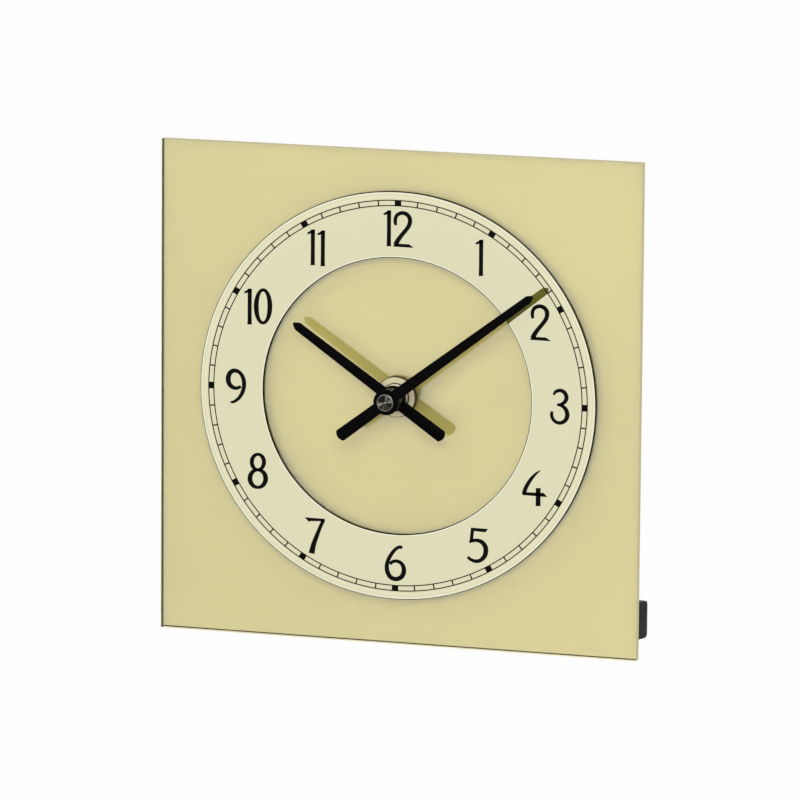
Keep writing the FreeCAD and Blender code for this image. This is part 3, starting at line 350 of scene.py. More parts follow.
lacquer, tree, shader, output = new_material("gold_lacquer")
surface = placed(tree, uneven, Blotch_Size=22.0, Grain_Size=2600.0, Low=0.28, High=0.32)
front_colour = blended(tree, surface.outputs["Blotch"], (0.557, 0.478, 0.151), (0.587, 0.504, 0.163))
back_colour = blended(tree, surface.outputs["Blotch"], (0.10, 0.085, 0.055), (0.16, 0.135, 0.09))
at_x, at_y, at_z, where = object_axes(tree)
behind = computed(tree, "GREATER_THAN", at_y, sum(c.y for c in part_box("gold_coating")) / 2)
dressed(tree, shader, blended(tree, behind, front_colour, back_colour), surface, surface.outputs["Grain"],
        2e-6, metallic=0.45, specular=0.06)
finish_nodes(lacquer, "gold_coating")
plate.data.materials.append(lacquer)
half_side = (plate_high.x - plate_low.x) / 2
for face in plate.data.polygons:
    from_middle = math.hypot(face.center.x, face.center.z - half_side)
    faces_back = face.normal.y > 0.9
    on_edge = face.normal.y > -0.3 and not faces_back and from_middle > 0.8 * half_side
    face.material_index = 1 if on_edge else 2 if faces_back else 0
finished(plate, "plate", "clear_glass", "glass_plate")


# Numeral ring: thin aluminium sheet, polished and anodised pale champagne, stamped so that its edges are
# slightly rounded, and bonded on the glass. Its walls are dull and coloured near black as painted shade.
outer = (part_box("chapter_ring")[1].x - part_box("chapter_ring")[0].x) / 2
inner, lip, rim_wide, track_edge = 39.2 * MM, 0.26 * MM, 0.45 * MM, 55.9 * MM
wall_painted_shade, lip_steps, fine_rings, sunk_light = (0.014, 0.011, 0.004), 4, 1700.0, 0.16


def from_arbor(tree):
    """How far a point lies from the arbor's line, and how far back it lies."""
    at_x, at_y, at_z, where = object_axes(tree)
    flat = linked(tree, "ShaderNodeCombineXYZ", X=at_x, Y=computed(tree, "SUBTRACT", at_z, axis_z))
    reach = tree.nodes.new("ShaderNodeVectorMath")
    reach.operation = "LENGTH"
    tree.links.new(flat.outputs["Vector"], reach.inputs[0])
    return reach.outputs["Value"], at_y


champagne, tree, shader, output = new_material("champagne_aluminium")
surface = placed(tree, uneven, Blotch_Size=35.0, Grain_Size=2500.0, Low=0.03, High=0.06)
reach, at_y = from_arbor(tree)
wall = computed(tree, "GREATER_THAN", at_y, ring_face + 0.006 * MM)
face_colour = blended(tree, surface.outputs["Blotch"], (0.73, 0.71, 0.56), (0.75, 0.73, 0.58))
# Beyond the track the polish leaves fine bright rings, and both rims are coloured whiter as a painted
# highlight.
polish = ranged(tree, noise(tree, reach, fine_rings, line=True), From_Min=0.4, From_Max=0.6)
ringed = computed(tree, "MULTIPLY", polish, computed(tree, "GREATER_THAN", reach, track_edge))
face_colour = blended(tree, ringed, face_colour, (0.84, 0.82, 0.66))
# Whiter rims: painted highlight.
anodised = computed(tree, "COMPARE", reach, (outer + inner) / 2, (outer - inner) / 2 - rim_wide)
face_colour = blended(tree, anodised, (1.0, 0.985, 0.90), face_colour)
# The walls, with most of their rounded lips, are coloured near black and lose their metal gloss, as painted
# shade.
dressed(tree, shader, blended(tree, wall, face_colour, wall_painted_shade), surface, surface.outputs["Grain"], 2e-7,
        metallic=computed(tree, "SUBTRACT", 1.0, wall), specular=0.03)
# A little of the light sinks into the olive anodised layer instead of being mirrored.
layer = tree.nodes.new("ShaderNodeBsdfPrincipled")
tree.links.new(blended(tree, wall, (0.78, 0.76, 0.13), wall_painted_shade), layer.inputs["Base Color"])
layer.inputs["Roughness"].default_value = 0.6
layer.inputs["Specular IOR Level"].default_value = 0.0
put_mixed(tree, output, sunk_light, shader.outputs["BSDF"], layer.outputs["BSDF"])


def lathe(name, profile, made, place=(0, 0), count=96, smooth=35):
    """A turned piece about a line along Y: profile points are (radius, y), and a radius of 0 closes it."""
    shape = bmesh.new()
    rings = []
    for radius, y in profile:
        if radius < 1e-9:
            rings.append([shape.verts.new((place[0], y, place[1]))])
            continue
        rings.append([shape.verts.new((place[0] + radius * math.sin(math.tau * i / count), y,
                                       place[1] + radius * math.cos(math.tau * i / count)))
                      for i in range(count)])
    closed = len(rings[0]) > 1
    for here, there in zip(rings, rings[1:] + (rings[:1] if closed else [])):
        for i in range(count):
            j = (i + 1) % count
            corners = [here[i % len(here)], here[j % len(here)], there[j % len(there)], there[i % len(there)]]
            corners = [c for n, c in enumerate(corners) if c not in corners[:n]]
            if len(corners) > 2:
                shape.faces.new(corners)
    bmesh.ops.recalc_face_normals(shape, faces=shape.faces)
    return piece_from(shape, name, made, smooth)


ring_profile = [(inner, plate_low.y), (outer, plate_low.y)]
for rim, way, steps in ((outer - lip, 1, range(lip_steps + 1)), (inner + lip, -1, range(lip_steps, -1, -1))):
    for step in steps:
        turn_by = math.pi / 2 * step / lip_steps
        ring_profile.append((rim + way * lip * math.cos(turn_by), ring_face + lip - lip * math.sin(turn_by)))
ring = lathe("numeral_ring", ring_profile, champagne, (0, axis_z), count=512, smooth=30)
finished(ring, "plate", "champagne_metal", "chapter_ring")


# Minute track: printed in black ink on the ring, two thin lines with fine ticks between them and a solid
# block at each hour.
INK_THICK = 0.015 * MM
ink_front = ring_face - INK_THICK
track_in, track_out = 53.85 * MM, 55.35 * MM
line_wide, tick_wide, block_wide = 0.3 * MM, 0.38 * MM, 1.9 * MM


def finish_of(name, dark, light, low, high, metallic=0.0, blotch=200.0, grain=4000.0, depth=5e-6,
              wear_and_highlight=None, wear_radius=0.0003, specular=0.5):
    """A finish with blotches in its colour and gloss, a fine grain, and edges of a third colour for wear and
    painted highlights.
    """
    made, tree, shader, output = new_material(name)
    surface = placed(tree, uneven, Blotch_Size=blotch, Grain_Size=grain, Low=low, High=high)
    colour = blended(tree, surface.outputs["Blotch"], dark, light)
    if wear_and_highlight:
        wear_and_highlight_mask = placed(tree, wear_and_sheen, Radius=wear_radius, Amount=1.2)
        colour = blended(tree, wear_and_highlight_mask.outputs["Mask"], colour, wear_and_highlight)
    dressed(tree, shader, colour, surface, surface.outputs["Grain"], depth, metallic, specular)
    return made


ink = finish_of("printing_ink", (0.002, 0.002, 0.002), (0.004, 0.004, 0.004), 0.5, 0.6, blotch=300.0,
                depth=1e-6, specular=0.04)


def marks(name, count, first, skip, radius, wide, long):
    """Blocks of ink in a circle about the arbor, apart from each skip-th one, made by Geometry Nodes."""
    tree = bpy.data.node_groups.new(name + "_tree", "GeometryNodeTree")
    tree.interface.new_socket("Geometry", in_out="OUTPUT", socket_type="NodeSocketGeometry")
    wanted = {"Count": ("Int", count), "First": ("Int", first), "Skip": ("Int", skip),
              "Radius": ("Float", radius), "Wide": ("Float", wide), "Long": ("Float", long),
              "Thick": ("Float", INK_THICK), "Ink": ("Material", ink)}
    sockets = {label: tree.interface.new_socket(label, in_out="INPUT", socket_type="NodeSocket" + kind)
               for label, (kind, value) in wanted.items()}
    given = tree.nodes.new("NodeGroupInput").outputs
    put = tree.nodes.new("NodeGroupOutput")
    circle = linked(tree, "GeometryNodeMeshCircle", Vertices=given["Count"], Radius=given["Radius"])
    number = tree.nodes.new("GeometryNodeInputIndex").outputs["Index"]
    place_in_turn = computed(tree, "MODULO", computed(tree, "ADD", number, given["First"]), given["Skip"])
    turn = computed(tree, "MULTIPLY", number, computed(tree, "DIVIDE", math.tau, given["Count"]))
    about = linked(tree, "ShaderNodeCombineXYZ", Z=turn)
    size = linked(tree, "ShaderNodeCombineXYZ", X=given["Long"], Y=given["Wide"], Z=given["Thick"])
    block = linked(tree, "GeometryNodeMeshCube", Size=size.outputs["Vector"])
    spread = linked(tree, "GeometryNodeInstanceOnPoints", Points=circle.outputs["Mesh"],
                    Selection=computed(tree, "GREATER_THAN", place_in_turn, 0.5),
                    Instance=block.outputs["Mesh"], Rotation=about.outputs["Vector"])
    real = linked(tree, "GeometryNodeRealizeInstances", Geometry=spread.outputs["Instances"])
    painted = linked(tree, "GeometryNodeSetMaterial", Geometry=real.outputs["Geometry"],
                     Material=given["Ink"])
    tree.links.new(painted.outputs["Geometry"], put.inputs["Geometry"])
    holder = bpy.data.objects.new(name + "_maker", bpy.data.meshes.new(name + "_maker"))
    scene.collection.objects.link(holder)
    maker = holder.modifiers.new("marks", "NODES")
    maker.node_group = tree
    for label, (kind, value) in wanted.items():
        maker[sockets[label].identifier] = value
    bpy.context.view_layer.update()
    mesh = bpy.data.meshes.new_from_object(holder.evaluated_get(bpy.context.evaluated_depsgraph_get()))
    mesh.name = name
    bpy.data.objects.remove(holder)
    mesh.transform(Matrix.Translation((0, ring_face - INK_THICK / 2, axis_z))
                   @ Matrix.Rotation(math.radians(90), 4, "X"))
    piece = bpy.data.objects.new(name, mesh)
    scene.collection.objects.link(piece)
    finished(piece, "plate", "champagne_metal")


marks("minute_ticks", 60, 0, 5, (track_in + track_out) / 2, tick_wide, track_out - track_in)
marks("hour_blocks", 12, 1, 13, (track_in + track_out) / 2, block_wide, track_out - track_in + line_wide)
for name, radius in (("inner_line", track_in), ("outer_line", track_out)):
    line = lathe(name, [(radius - line_wide / 2, ring_face), (radius - line_wide / 2, ink_front),
                        (radius + line_wide / 2, ink_front), (radius + line_wide / 2, ring_face)],
                 ink, (0, axis_z), count=512)
    finished(line, "plate", "champagne_metal")


# Numerals: printed in black ink, tall and slim, with strokes that swell. Each is drawn on a grid with y
# down, by ovals, strokes (x, y, width) and straight sided patches (x, y), and is then fitted to its place.
SWELL, WIDER, TALLER = 1.44, 0.75, 0.6
grid_slope = 0.053
NUMERALS = {
    "0": [("oval", 246, 235, 76, 190, 38, 26)],
    "1": [[(217, 35, 36), (217, 240, 34), (217, 424, 36), (217, 450, 44)],
          [(145, 72), (210, 34), (235, 33), (237, 82), (200, 76), (158, 92)]],
    "2": [[(116, 188, 20), (108, 150, 27), (112, 105, 28), (138, 68, 29), (187, 52, 30), (235, 68, 31),
           (265, 105, 33), (271, 148, 34), (258, 195, 33), (224, 245, 32), (180, 298, 33), (142, 350, 36),
           (112, 404, 38)],
          [(84, 424), (104, 390), (146, 392), (262, 398), (312, 434), (308, 438)]],
    "3": [[(126, 104, 16), (149, 68, 26), (199, 52, 28), (247, 72, 31), (274, 118, 34), (270, 160, 33),
           (246, 190, 30), (212, 208, 24), (166, 214, 16)],
          [(166, 214, 14), (222, 225, 24), (266, 262, 32), (287, 316, 36), (278, 368, 35), (245, 404, 31),
           (199, 418, 28), (150, 403, 26), (117, 366, 27), (106, 326, 27), (110, 288, 22)]],
    "4": [[(262, 34, 6), (216, 66, 18), (160, 128, 27), (116, 196, 31), (90, 256, 33), (80, 300, 32)],
          [(63, 308), (74, 272), (118, 276), (302, 282), (344, 328), (220, 318)],
          [(240, 228, 38), (240, 330, 37), (240, 428, 39)]],
    "5": [[(128, 48), (309, 60), (281, 98), (160, 86), (152, 180), (158, 190), (111, 224)],
          [(113, 214, 12), (140, 196, 24), (190, 188, 28), (245, 208, 32), (281, 258, 35), (286, 318, 36),
           (268, 372, 34), (226, 412, 30), (178, 420, 28), (128, 402, 24), (96, 374, 22)]],
    "6": [[(272, 62, 24), (240, 54, 26), (196, 80, 27), (152, 136, 29), (118, 204, 31), (104, 276, 33),
           (116, 342, 34), (148, 392, 34), (204, 412, 34), (258, 392, 36), (286, 346, 36), (288, 286, 33),
           (262, 236, 29), (216, 212, 27), (168, 218, 26), (138, 246, 24)]],
    "7": [[(83, 44), (307, 58), (292, 92), (262, 84), (150, 84), (128, 92)],
          [(290, 66, 26), (252, 150, 28), (214, 246, 33), (182, 336, 38), (160, 432, 45)]],
    "8": [("oval", 196, 138, 68, 86, 33, 24), ("oval", 196, 322, 88, 98, 38, 25)],
    "9": [[(250, 242, 24), (212, 260, 27), (170, 258, 30), (124, 226, 36), (103, 166, 40), (116, 104, 38),
           (150, 72, 35), (186, 66, 32), (234, 86, 29), (270, 136, 32), (286, 200, 34), (280, 272, 33),
           (252, 340, 30), (206, 392, 26), (152, 420, 20), (130, 412, 10)]],
}


def stroke_quads(points, steps=8):
    """The faces of a stroke that swells, along a smooth line through its points."""
    fine = []
    for i in range(len(points) - 1):
        near = points[max(i - 1, 0)], points[i], points[i + 1], points[min(i + 2, len(points) - 1)]
        for t in (step / steps for step in range(steps)):
            fine.append([0.5 * (2 * b + (c - a) * t + (2 * a - 5 * b + 4 * c - d) * t * t
                                + (3 * b - a - 3 * c + d) * t ** 3) for a, b, c, d in zip(*near)])
    fine.append(list(points[-1]))
    rows = []
    for i, (x, y, wide) in enumerate(fine):
        ahead, back = fine[min(i + 1, len(fine) - 1)], fine[max(i - 1, 0)]
        along = Vector((ahead[0] - back[0], ahead[1] - back[1])).normalized() * SWELL * wide / 2
        rows.append(((x - along.y, y + along.x), (x + along.y, y - along.x)))
    return [(here[0], there[0], there[1], here[1]) for here, there in zip(rows, rows[1:])]


def oval_quads(x, y, half_wide, half_high, side, top, count=48):
    """The faces of an oval stroke that is wider at its sides than at its top."""
    rows = []
    for t in (math.tau * i / count for i in range(count)):
        half = SWELL * (top + (side - top) * abs(math.sin(t)) ** 1.4) / 2
        rows.append([(x + (half_wide + way * half) * math.sin(t), y - (half_high + way * half) * math.cos(t))
                     for way in (-1, 1)])
    return [(here[0], here[1], there[1], there[0]) for here, there in zip(rows, rows[1:] + rows[:1])]


def slabs(shape, faces):
    """Thin closed slabs of ink from flat faces given by their corners."""
    for corners in faces:
        back_row = [shape.verts.new((u, 0, -v)) for u, v in corners]
        front_row = [shape.verts.new((u, -INK_THICK, -v)) for u, v in corners]
        shape.faces.new(back_row)
        shape.faces.new(front_row[::-1])
        for i in range(len(corners)):
            j = (i + 1) % len(corners)
            shape.faces.new((back_row[i], front_row[i], front_row[j], back_row[j]))


def numeral(name, figure, x, z, wide, high):
    """One printed figure, its middle at x, z on the ring's face."""
    shape = bmesh.new()
    for part in NUMERALS[figure]:
        if part[0] == "oval":
            slabs(shape, oval_quads(*part[1:]))
        elif len(part[0]) == 2:
            slabs(shape, [part])
        else:
            slabs(shape, stroke_quads(part))
    # The grid's rows slope as the seen dial does, so each figure is set upright before it is fitted.
    for vertex in shape.verts:
        vertex.co.z += grid_slope * vertex.co.x
    left_end, right_end = (pick(v.co.x for v in shape.verts) for pick in (min, max))
    low_end, top_end = (pick(v.co.z for v in shape.verts) for pick in (min, max))
    for vertex in shape.verts:
        vertex.co.x = x + ((vertex.co.x - left_end) / (right_end - left_end) - 0.5) * wide
        vertex.co.z = axis_z + z + ((vertex.co.z - low_end) / (top_end - low_end) - 0.5) * high
        vertex.co.y += ring_face
    bmesh.ops.recalc_face_normals(shape, faces=shape.faces)
    finished(piece_from(shape, name, ink), "plate", "champagne_metal")


for name, figure, x, z, wide, high in (
        ("twelve_1", "1", -3.06, 47.40, 1.75, 9.6), ("twelve_2", "2", 1.61, 47.37, 5.25, 9.6),
        ("one", "1", 23.76, 40.53, 1.74, 9.7), ("two", "2", 41.58, 23.36, 5.2, 9.6),
        ("three", "3", 47.46, 0.0, 4.9, 9.6), ("four", "4", 40.47, -23.39, 6.67, 9.65),
        ("five", "5", 24.04, -40.85, 5.55, 9.4), ("six", "6", 0.06, -47.47, 5.6, 9.75),
        ("seven", "7", -23.73, -41.30, 5.33, 9.77), ("eight", "8", -40.70, -23.72, 5.35, 9.77),
        ("nine", "9", -47.30, 0.12, 5.34, 9.45), ("ten_1", "1", -43.81, 23.03, 1.78, 9.7),
        ("ten_0", "0", -39.37, 23.29, 4.73, 9.7), ("eleven_1", "1", -25.29, 40.83, 1.76, 9.6),
        ("eleven_2", "1", -22.35, 40.71, 1.76, 9.6)):
    numeral("numeral_" + name, figure, x * MM, z * MM, (wide + WIDER) * MM, (high + TALLER) * MM)


# Nut and bush: the nut is turned brass with a pale gold plating, a chamfered front and fine turning lines.
# The end of the threaded bush stands out of it, plated the same.
nut_low, nut_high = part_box("centre_nut")
nut_r, bore_r, chamfer = (nut_high.x - nut_low.x) / 2, 4.02 * MM, 0.3 * MM
back_bevel, nose, lead_in = 0.15 * MM, 0.12 * MM, 0.08 * MM
bush_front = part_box("front_housing")[0].y
bush_r, pipe_room, sleeve_back = 4.005 * MM, 2.71 * MM, -7 * MM
thread_start, thread_turns, thread_pitch, thread_deep = 0.15 * MM, 4, 0.35 * MM, 0.18 * MM
pale_dark, pale_light = (0.80, 0.72, 0.45), (0.86, 0.78, 0.51)
turned_lines, given, put = group("turning_lines", [("Lines", 9000.0)], ["Height", "Radius"])
reach, at_y = from_arbor(turned_lines)
counted = computed(turned_lines, "MULTIPLY", reach, given.outputs["Lines"])
lines = noise(turned_lines, counted, 1.0, detail=3.0, line=True)
turned_lines.links.new(lines, put.inputs["Height"])
turned_lines.links.new(reach, put.inputs["Radius"])


def turned_metal(name, dark, light, low, high, lines, depth, metallic=1.0, side=None, front=None,
                 specular=0.5):
    """Turned metal with fine lines round the arbor, another colour beyond a radius or before a y if asked."""
    made, tree, shader, output = new_material(name)
    surface = placed(tree, uneven, Blotch_Size=300.0, Grain_Size=5000.0, Low=low, High=high)
    rows = placed(tree, turned_lines, Lines=lines).outputs
    colour = blended(tree, rows["Height"], dark, light)
    if side:
        colour = blended(tree, computed(tree, "GREATER_THAN", rows["Radius"], side[0]), colour, side[1])
    if front:
        colour = blended(tree, computed(tree, "LESS_THAN", object_axes(tree)[1], front[0]), colour, front[1])
    dressed(tree, shader, colour, surface, rows["Height"], depth, metallic, specular)
    return made


# The outer 0.22 mm of the nut, its side and back bevel, is coloured near black brown as painted shade.
plated = turned_metal("pale_gold_plating", pale_dark, pale_light, 0.3, 0.4, 14000.0, 2e-6, metallic=0.0,
                      specular=0.05, side=(nut_r - 0.22 * MM, (0.040, 0.022, 0.006)))
bush_plating = turned_metal("bush_plating", pale_dark, pale_light, 0.3, 0.4, 14000.0, 2e-6, metallic=0.5)
nut = lathe("round_nut", [
    (bore_r, nut_high.y), (nut_r - back_bevel, nut_high.y), (nut_r, nut_high.y - back_bevel),
    (nut_r, nut_low.y + chamfer), (nut_r - nose, nut_low.y + nose), (nut_r - chamfer, nut_low.y),
    (bore_r + lead_in, nut_low.y), (bore_r, nut_low.y + lead_in)], plated, (0, axis_z), smooth=30)
finished(nut, "plate", "champagne_nut", "centre_nut")
bush_profile = [(pipe_room, bush_front + 0.2 * MM), (pipe_room + 0.15 * MM, bush_front - HAIR),
                (bush_r - 0.3 * MM, bush_front - HAIR)]
for turn_number in range(thread_turns):
    start = bush_front + thread_start + thread_pitch * turn_number
    bush_profile += [(bush_r, start), (bush_r - thread_deep, start + thread_deep)]
bush_profile += [(bush_r, bush_front + 1.5 * MM), (bush_r, sleeve_back), (pipe_room, sleeve_back)]
bush = lathe("bush_sleeve", bush_profile, bush_plating, (0, axis_z), smooth=30)
finished(bush, "plate", "champagne_nut")


# Hands: stamped from thin steel and lacquered matt black, with edges a little rounded by the lacquer.
def eased(node, name, made, width, segments=2, sharp_angle=math.radians(30)):
    """A CAD node's form with its sharp edges eased by a small round, as moulded and stamped parts have."""
    shape = merged(node) if isinstance(node, str) else node
    sharp = [e for e in shape.edges if len(e.link_faces) == 2 and e.calc_face_angle(0) > sharp_angle]
    bmesh.ops.bevel(shape, geom=sharp, offset=width, offset_type="OFFSET", segments=segments, profile=0.5,
                    affect="EDGES", clamp_overlap=True)
    bmesh.ops.triangulate(shape, faces=[f for f in shape.faces if len(f.verts) > 4])
    return piece_from(shape, name, made)


# Edge wear and painted highlight: how far the surface turns within a small radius, broken up by noise.
wear_and_sheen, given, put = group("edge_wear_and_sheen", [("Radius", 0.0003), ("Amount", 1.0)], ["Mask"])
rounded = linked(wear_and_sheen, "ShaderNodeBevel", Radius=given.outputs["Radius"])
rounded.samples = 4
turn = wear_and_sheen.nodes.new("ShaderNodeVectorMath")
turn.operation = "DOT_PRODUCT"
wear_and_sheen.links.new(rounded.outputs["Normal"], turn.inputs[0])
wear_and_sheen.links.new(wear_and_sheen.nodes.new("ShaderNodeNewGeometry").outputs["Normal"], turn.inputs[1])
away = ranged(wear_and_sheen, turn.outputs["Value"], From_Min=0.995, From_Max=0.8)
broken = computed(wear_and_sheen, "MULTIPLY", away, noise(wear_and_sheen, object_axes(wear_and_sheen)[-1], 900.0))
mask = computed(wear_and_sheen, "MULTIPLY", broken, given.outputs["Amount"])
mask.node.use_clamp = True
wear_and_sheen.links.new(mask, put.inputs["Mask"])
lacquer_black = finish_of("matt_black_lacquer", (0.001, 0.001, 0.001), (0.0025, 0.0025, 0.0025), 0.5, 0.62,
                          blotch=250.0, grain=6000.0, depth=2e-6, wear_and_highlight=(0.010, 0.010, 0.009),
                          wear_radius=0.0001, specular=0.02)
for node, body in (("hour_hand", "hour"), ("minute_hand", "minute")):
    finished(eased(node, node + "_blade", lacquer_black, 0.06 * MM), body, "black_lacquer", node)


# Bushes of the hands: turned, blackened brass. The hour hand's has a collar in front and a flange behind,
# and the minute hand's a collar behind. The hour hand's rims are coloured lighter as a painted highlight.
for node, body, name, wear_and_highlight in (("hour_hand_hub", "hour", "brass_with_painted_highlight", (0.30, 0.29, 0.27)),
                               ("minute_hand_hub", "minute", "blackened_brass", None)):
    made = finish_of(name, (0.002, 0.002, 0.002), (0.006, 0.006, 0.006), 0.2, 0.3, blotch=500.0, grain=9000.0,
                     depth=1e-6, wear_and_highlight=wear_and_highlight, specular=0.2)
    finished(eased(node, node + "_turned", made, 0.12 * MM, segments=3), body, "black_lacquer", node)


# Cap: a small turned nickel cap on the end of the arbor, its face slightly dished with coarse turning lines.
# Its colour is a painted reflection: a dark face with painted highlights in sectors, on the rim and at the
# centre.
cap_low, cap_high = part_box("cap_nut")
cap_r, arbor_r = (cap_high.x - cap_low.x) / 2, 1.76 * MM
nickel, tree, shader, output = new_material("turned_nickel")
surface = placed(tree, uneven, Blotch_Size=500.0, Grain_Size=6000.0, Low=0.22, High=0.34)
rows = placed(tree, turned_lines, Lines=16000.0).outputs
at_x, at_y, at_z, where = object_axes(tree)
# Painted reflection: bright sectors by angle round the arbor over a dark face, a lighter rim and a bright
# centre.
angle = computed(tree, "ARCTAN2", computed(tree, "SUBTRACT", at_z, axis_z), at_x)
sectors = noise(tree, angle, 1.25, detail=3.0, roughness=0.6, line=True)
lit = ranged(tree, sectors, From_Min=0.50, From_Max=0.62)
unlit_rows = blended(tree, rows["Height"], (0.005, 0.005, 0.004), (0.022, 0.021, 0.018))
highlit_rows = blended(tree, rows["Height"], (0.08, 0.076, 0.06), (0.36, 0.35, 0.29))
colour = blended(tree, lit, unlit_rows, highlit_rows)
rim = computed(tree, "GREATER_THAN", rows["Radius"], cap_r - 0.3 * MM)
beyond_dimple = computed(tree, "GREATER_THAN", rows["Radius"], 0.2 * MM)
colour = blended(tree, rim, colour, (0.15, 0.147, 0.13))
colour = blended(tree, beyond_dimple, (0.45, 0.44, 0.40), colour)
dressed(tree, shader, colour, surface, rows["Height"], 1e-5, metallic=1.0)
cap = lathe("arbor_cap", [
    (0, cap_low.y + 0.22 * MM), (0.25 * MM, cap_low.y + 0.2 * MM), (cap_r - 0.42 * MM, cap_low.y + 0.02 * MM),
    (cap_r - 0.22 * MM, cap_low.y), (cap_r - 0.06 * MM, cap_low.y + 0.07 * MM), (cap_r, cap_low.y + 0.2 * MM),
    (cap_r, cap_high.y - 0.08 * MM), (cap_r - 0.08 * MM, cap_high.y), (arbor_r, cap_high.y),
    (arbor_r, cap_high.y - 0.5 * MM), (0, cap_high.y - 0.5 * MM)], nickel, (0, axis_z), count=64, smooth=25)
finished(cap, "minute", "silver_cap", "cap_nut")


# Stand: a flat steel strip on edge, bent at both ends, with a satin black powder coat, glued behind the
# plate on two pads of white foam tape.
end_round, edge_round = 1.1 * MM, 0.15 * MM
powder = finish_of("black_powder_coat", (0.007, 0.007, 0.007), (0.012, 0.012, 0.012), 0.45, 0.58,
                   blotch=60.0, grain=2200.0, depth=1.5e-5, wear_and_highlight=(0.05, 0.05, 0.048), specular=0.12)
shape = merged("stand_bracket")
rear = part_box("stand_bracket")[1].y - 2 * MM
ends = [e for e in shape.edges if all(v.co.y > rear for v in e.verts)
        and abs(e.verts[0].co.z - e.verts[1].co.z) < 0.01 * MM and 0.3 * MM < e.calc_length() < 3 * MM]
bmesh.ops.bevel(shape, geom=ends, offset=end_round, offset_type="OFFSET", segments=6, profile=0.5,
                affect="EDGES", clamp_overlap=True)
finished(eased(shape, "stand_strip", powder, edge_round), "plate", "black_paint", "stand_bracket")
foam = finish_of("foam_tape", (0.72, 0.72, 0.70), (0.82, 0.82, 0.80), 0.75, 0.9, blotch=400.0, grain=1800.0,
                 depth=6e-5)
finish_nodes(foam, "stand_pad_left", "stand_pad_right")


# Washer: a square pad of soft black rubber between glass and movement.
rubber = finish_of("black_rubber", (0.02, 0.02, 0.02), (0.035, 0.035, 0.033), 0.7, 0.85, grain=1500.0,
                   depth=2e-5)
finished(eased("rubber_gasket", "rubber_washer", rubber, 0.12 * MM), "plate", "black_rubber", "rubber_gasket")


# Movement case: two halves moulded in black plastic with a fine spark-eroded grain, and the knob.
moulded = finish_of("black_moulding", (0.014, 0.014, 0.015), (0.024, 0.024, 0.025), 0.45, 0.6, blotch=120.0,
                    grain=3000.0, depth=1.2e-5, wear_and_highlight=(0.05, 0.05, 0.05))
finished(eased("front_housing", "case_front", moulded, 0.18 * MM), "plate", "black_plastic", "front_housing")
finished(eased("rear_cover", "case_back", moulded, 0.3 * MM, segments=3), "plate", "black_plastic",
         "rear_cover")
finished(eased("setting_knob", "hand_setting_knob", moulded, 0.12 * MM), "knob", "black_plastic",
         "setting_knob")


# Marks of the mould on the case: a plus and a minus above the battery's ends, a low rim and a double arrow
# round the knob, four round prints of the ejector pins, and the lugs of the snaps on both sides.
case_low, case_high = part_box("rear_cover")
knob_x, knob_z = (sum(c[i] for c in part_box("setting_knob")) / 2 for i in (0, 2))
mark_high, mark_deep, mark_line, mark_round = 0.4 * MM, 0.1 * MM, 0.42 * MM, 0.05 * MM
sign_z, sign_half, plus_x, minus_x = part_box("battery")[1].z + 4.5 * MM, 2.0 * MM, 8.5 * MM, -22 * MM
arrow_r, arrow_steps, sweep = 7.4 * MM, 14, math.radians(44)
head_long, head_half = 1.9 * MM, 1.1 * MM
pin_r, pin_sides, pin_x, pin_high = 1.5 * MM, 28, 23 * MM, 0.2 * MM
top_z, low_pin_z = case_high.z - 5 * MM, sign_z + 9 * MM
lug_y, lug_off, lug_half, lug_half_high = case_low.y + 2.2 * MM, 13 * MM, 0.7 * MM, 3 * MM
rim_in, rim_out, rim_spread, rim_high = 5.9 * MM, 6.3 * MM, 0.1 * MM, 0.25 * MM


def raised(name, outlines, height, plane=case_high.y, side="Y"):
    """Low blocks on the case, each from an outline of (x, z) on its back, or of (y, z) on a side."""
    shape = bmesh.new()
    for outline in outlines:
        foot, top = ([shape.verts.new((a, depth, b) if side == "Y" else (depth, a, b)) for a, b in outline]
                     for depth in (plane - mark_deep * math.copysign(1, height), plane + height))
        shape.faces.new(foot)
        shape.faces.new(top[::-1])
        for i in range(len(outline)):
            j = (i + 1) % len(outline)
            shape.faces.new((foot[i], top[i], top[j], foot[j]))
    bmesh.ops.recalc_face_normals(shape, faces=shape.faces)
    finished(eased(shape, name, moulded, mark_round), "plate", "black_plastic")


def oblong(x, z, half_wide, half_high):
    """The outline of an upright rectangle."""
    return [(x - half_wide, z - half_high), (x + half_wide, z - half_high), (x + half_wide, z + half_high),
            (x - half_wide, z + half_high)]


def round_knob(*points):
    """Corners given by their distance and angle from the knob's middle."""
    return [(knob_x + r * math.cos(t), knob_z + r * math.sin(t)) for r, t in points]


stem_half, stem_off = (sign_half - mark_line) / 2, (sign_half + mark_line) / 2
raised("plus_and_minus", [
    oblong(plus_x, sign_z, sign_half, mark_line), oblong(minus_x, sign_z, sign_half, mark_line),
    oblong(plus_x, sign_z + stem_off, mark_line, stem_half),
    oblong(plus_x, sign_z - stem_off, mark_line, stem_half)], mark_high)
arrows = []
for i in range(arrow_steps):
    start, end = (math.pi - sweep + (i + step) / arrow_steps * 2 * sweep for step in (0, 1))
    arrows.append(round_knob((arrow_r - mark_line, start), (arrow_r - mark_line, end),
                             (arrow_r + mark_line, end), (arrow_r + mark_line, start)))
for way in (-1, 1):
    end = math.pi + way * sweep
    arrows.append(round_knob((arrow_r - head_half, end), (arrow_r + head_half, end),
                             (arrow_r, end + way * head_long / arrow_r)))
raised("double_arrow", arrows, mark_high)
raised("ejector_prints", [
    [(x + pin_r * math.cos(math.tau * i / pin_sides), z + pin_r * math.sin(math.tau * i / pin_sides))
     for i in range(pin_sides)]
    for x, z in ((-pin_x, top_z), (pin_x, top_z), (-pin_x, low_pin_z), (0, top_z))], pin_high)
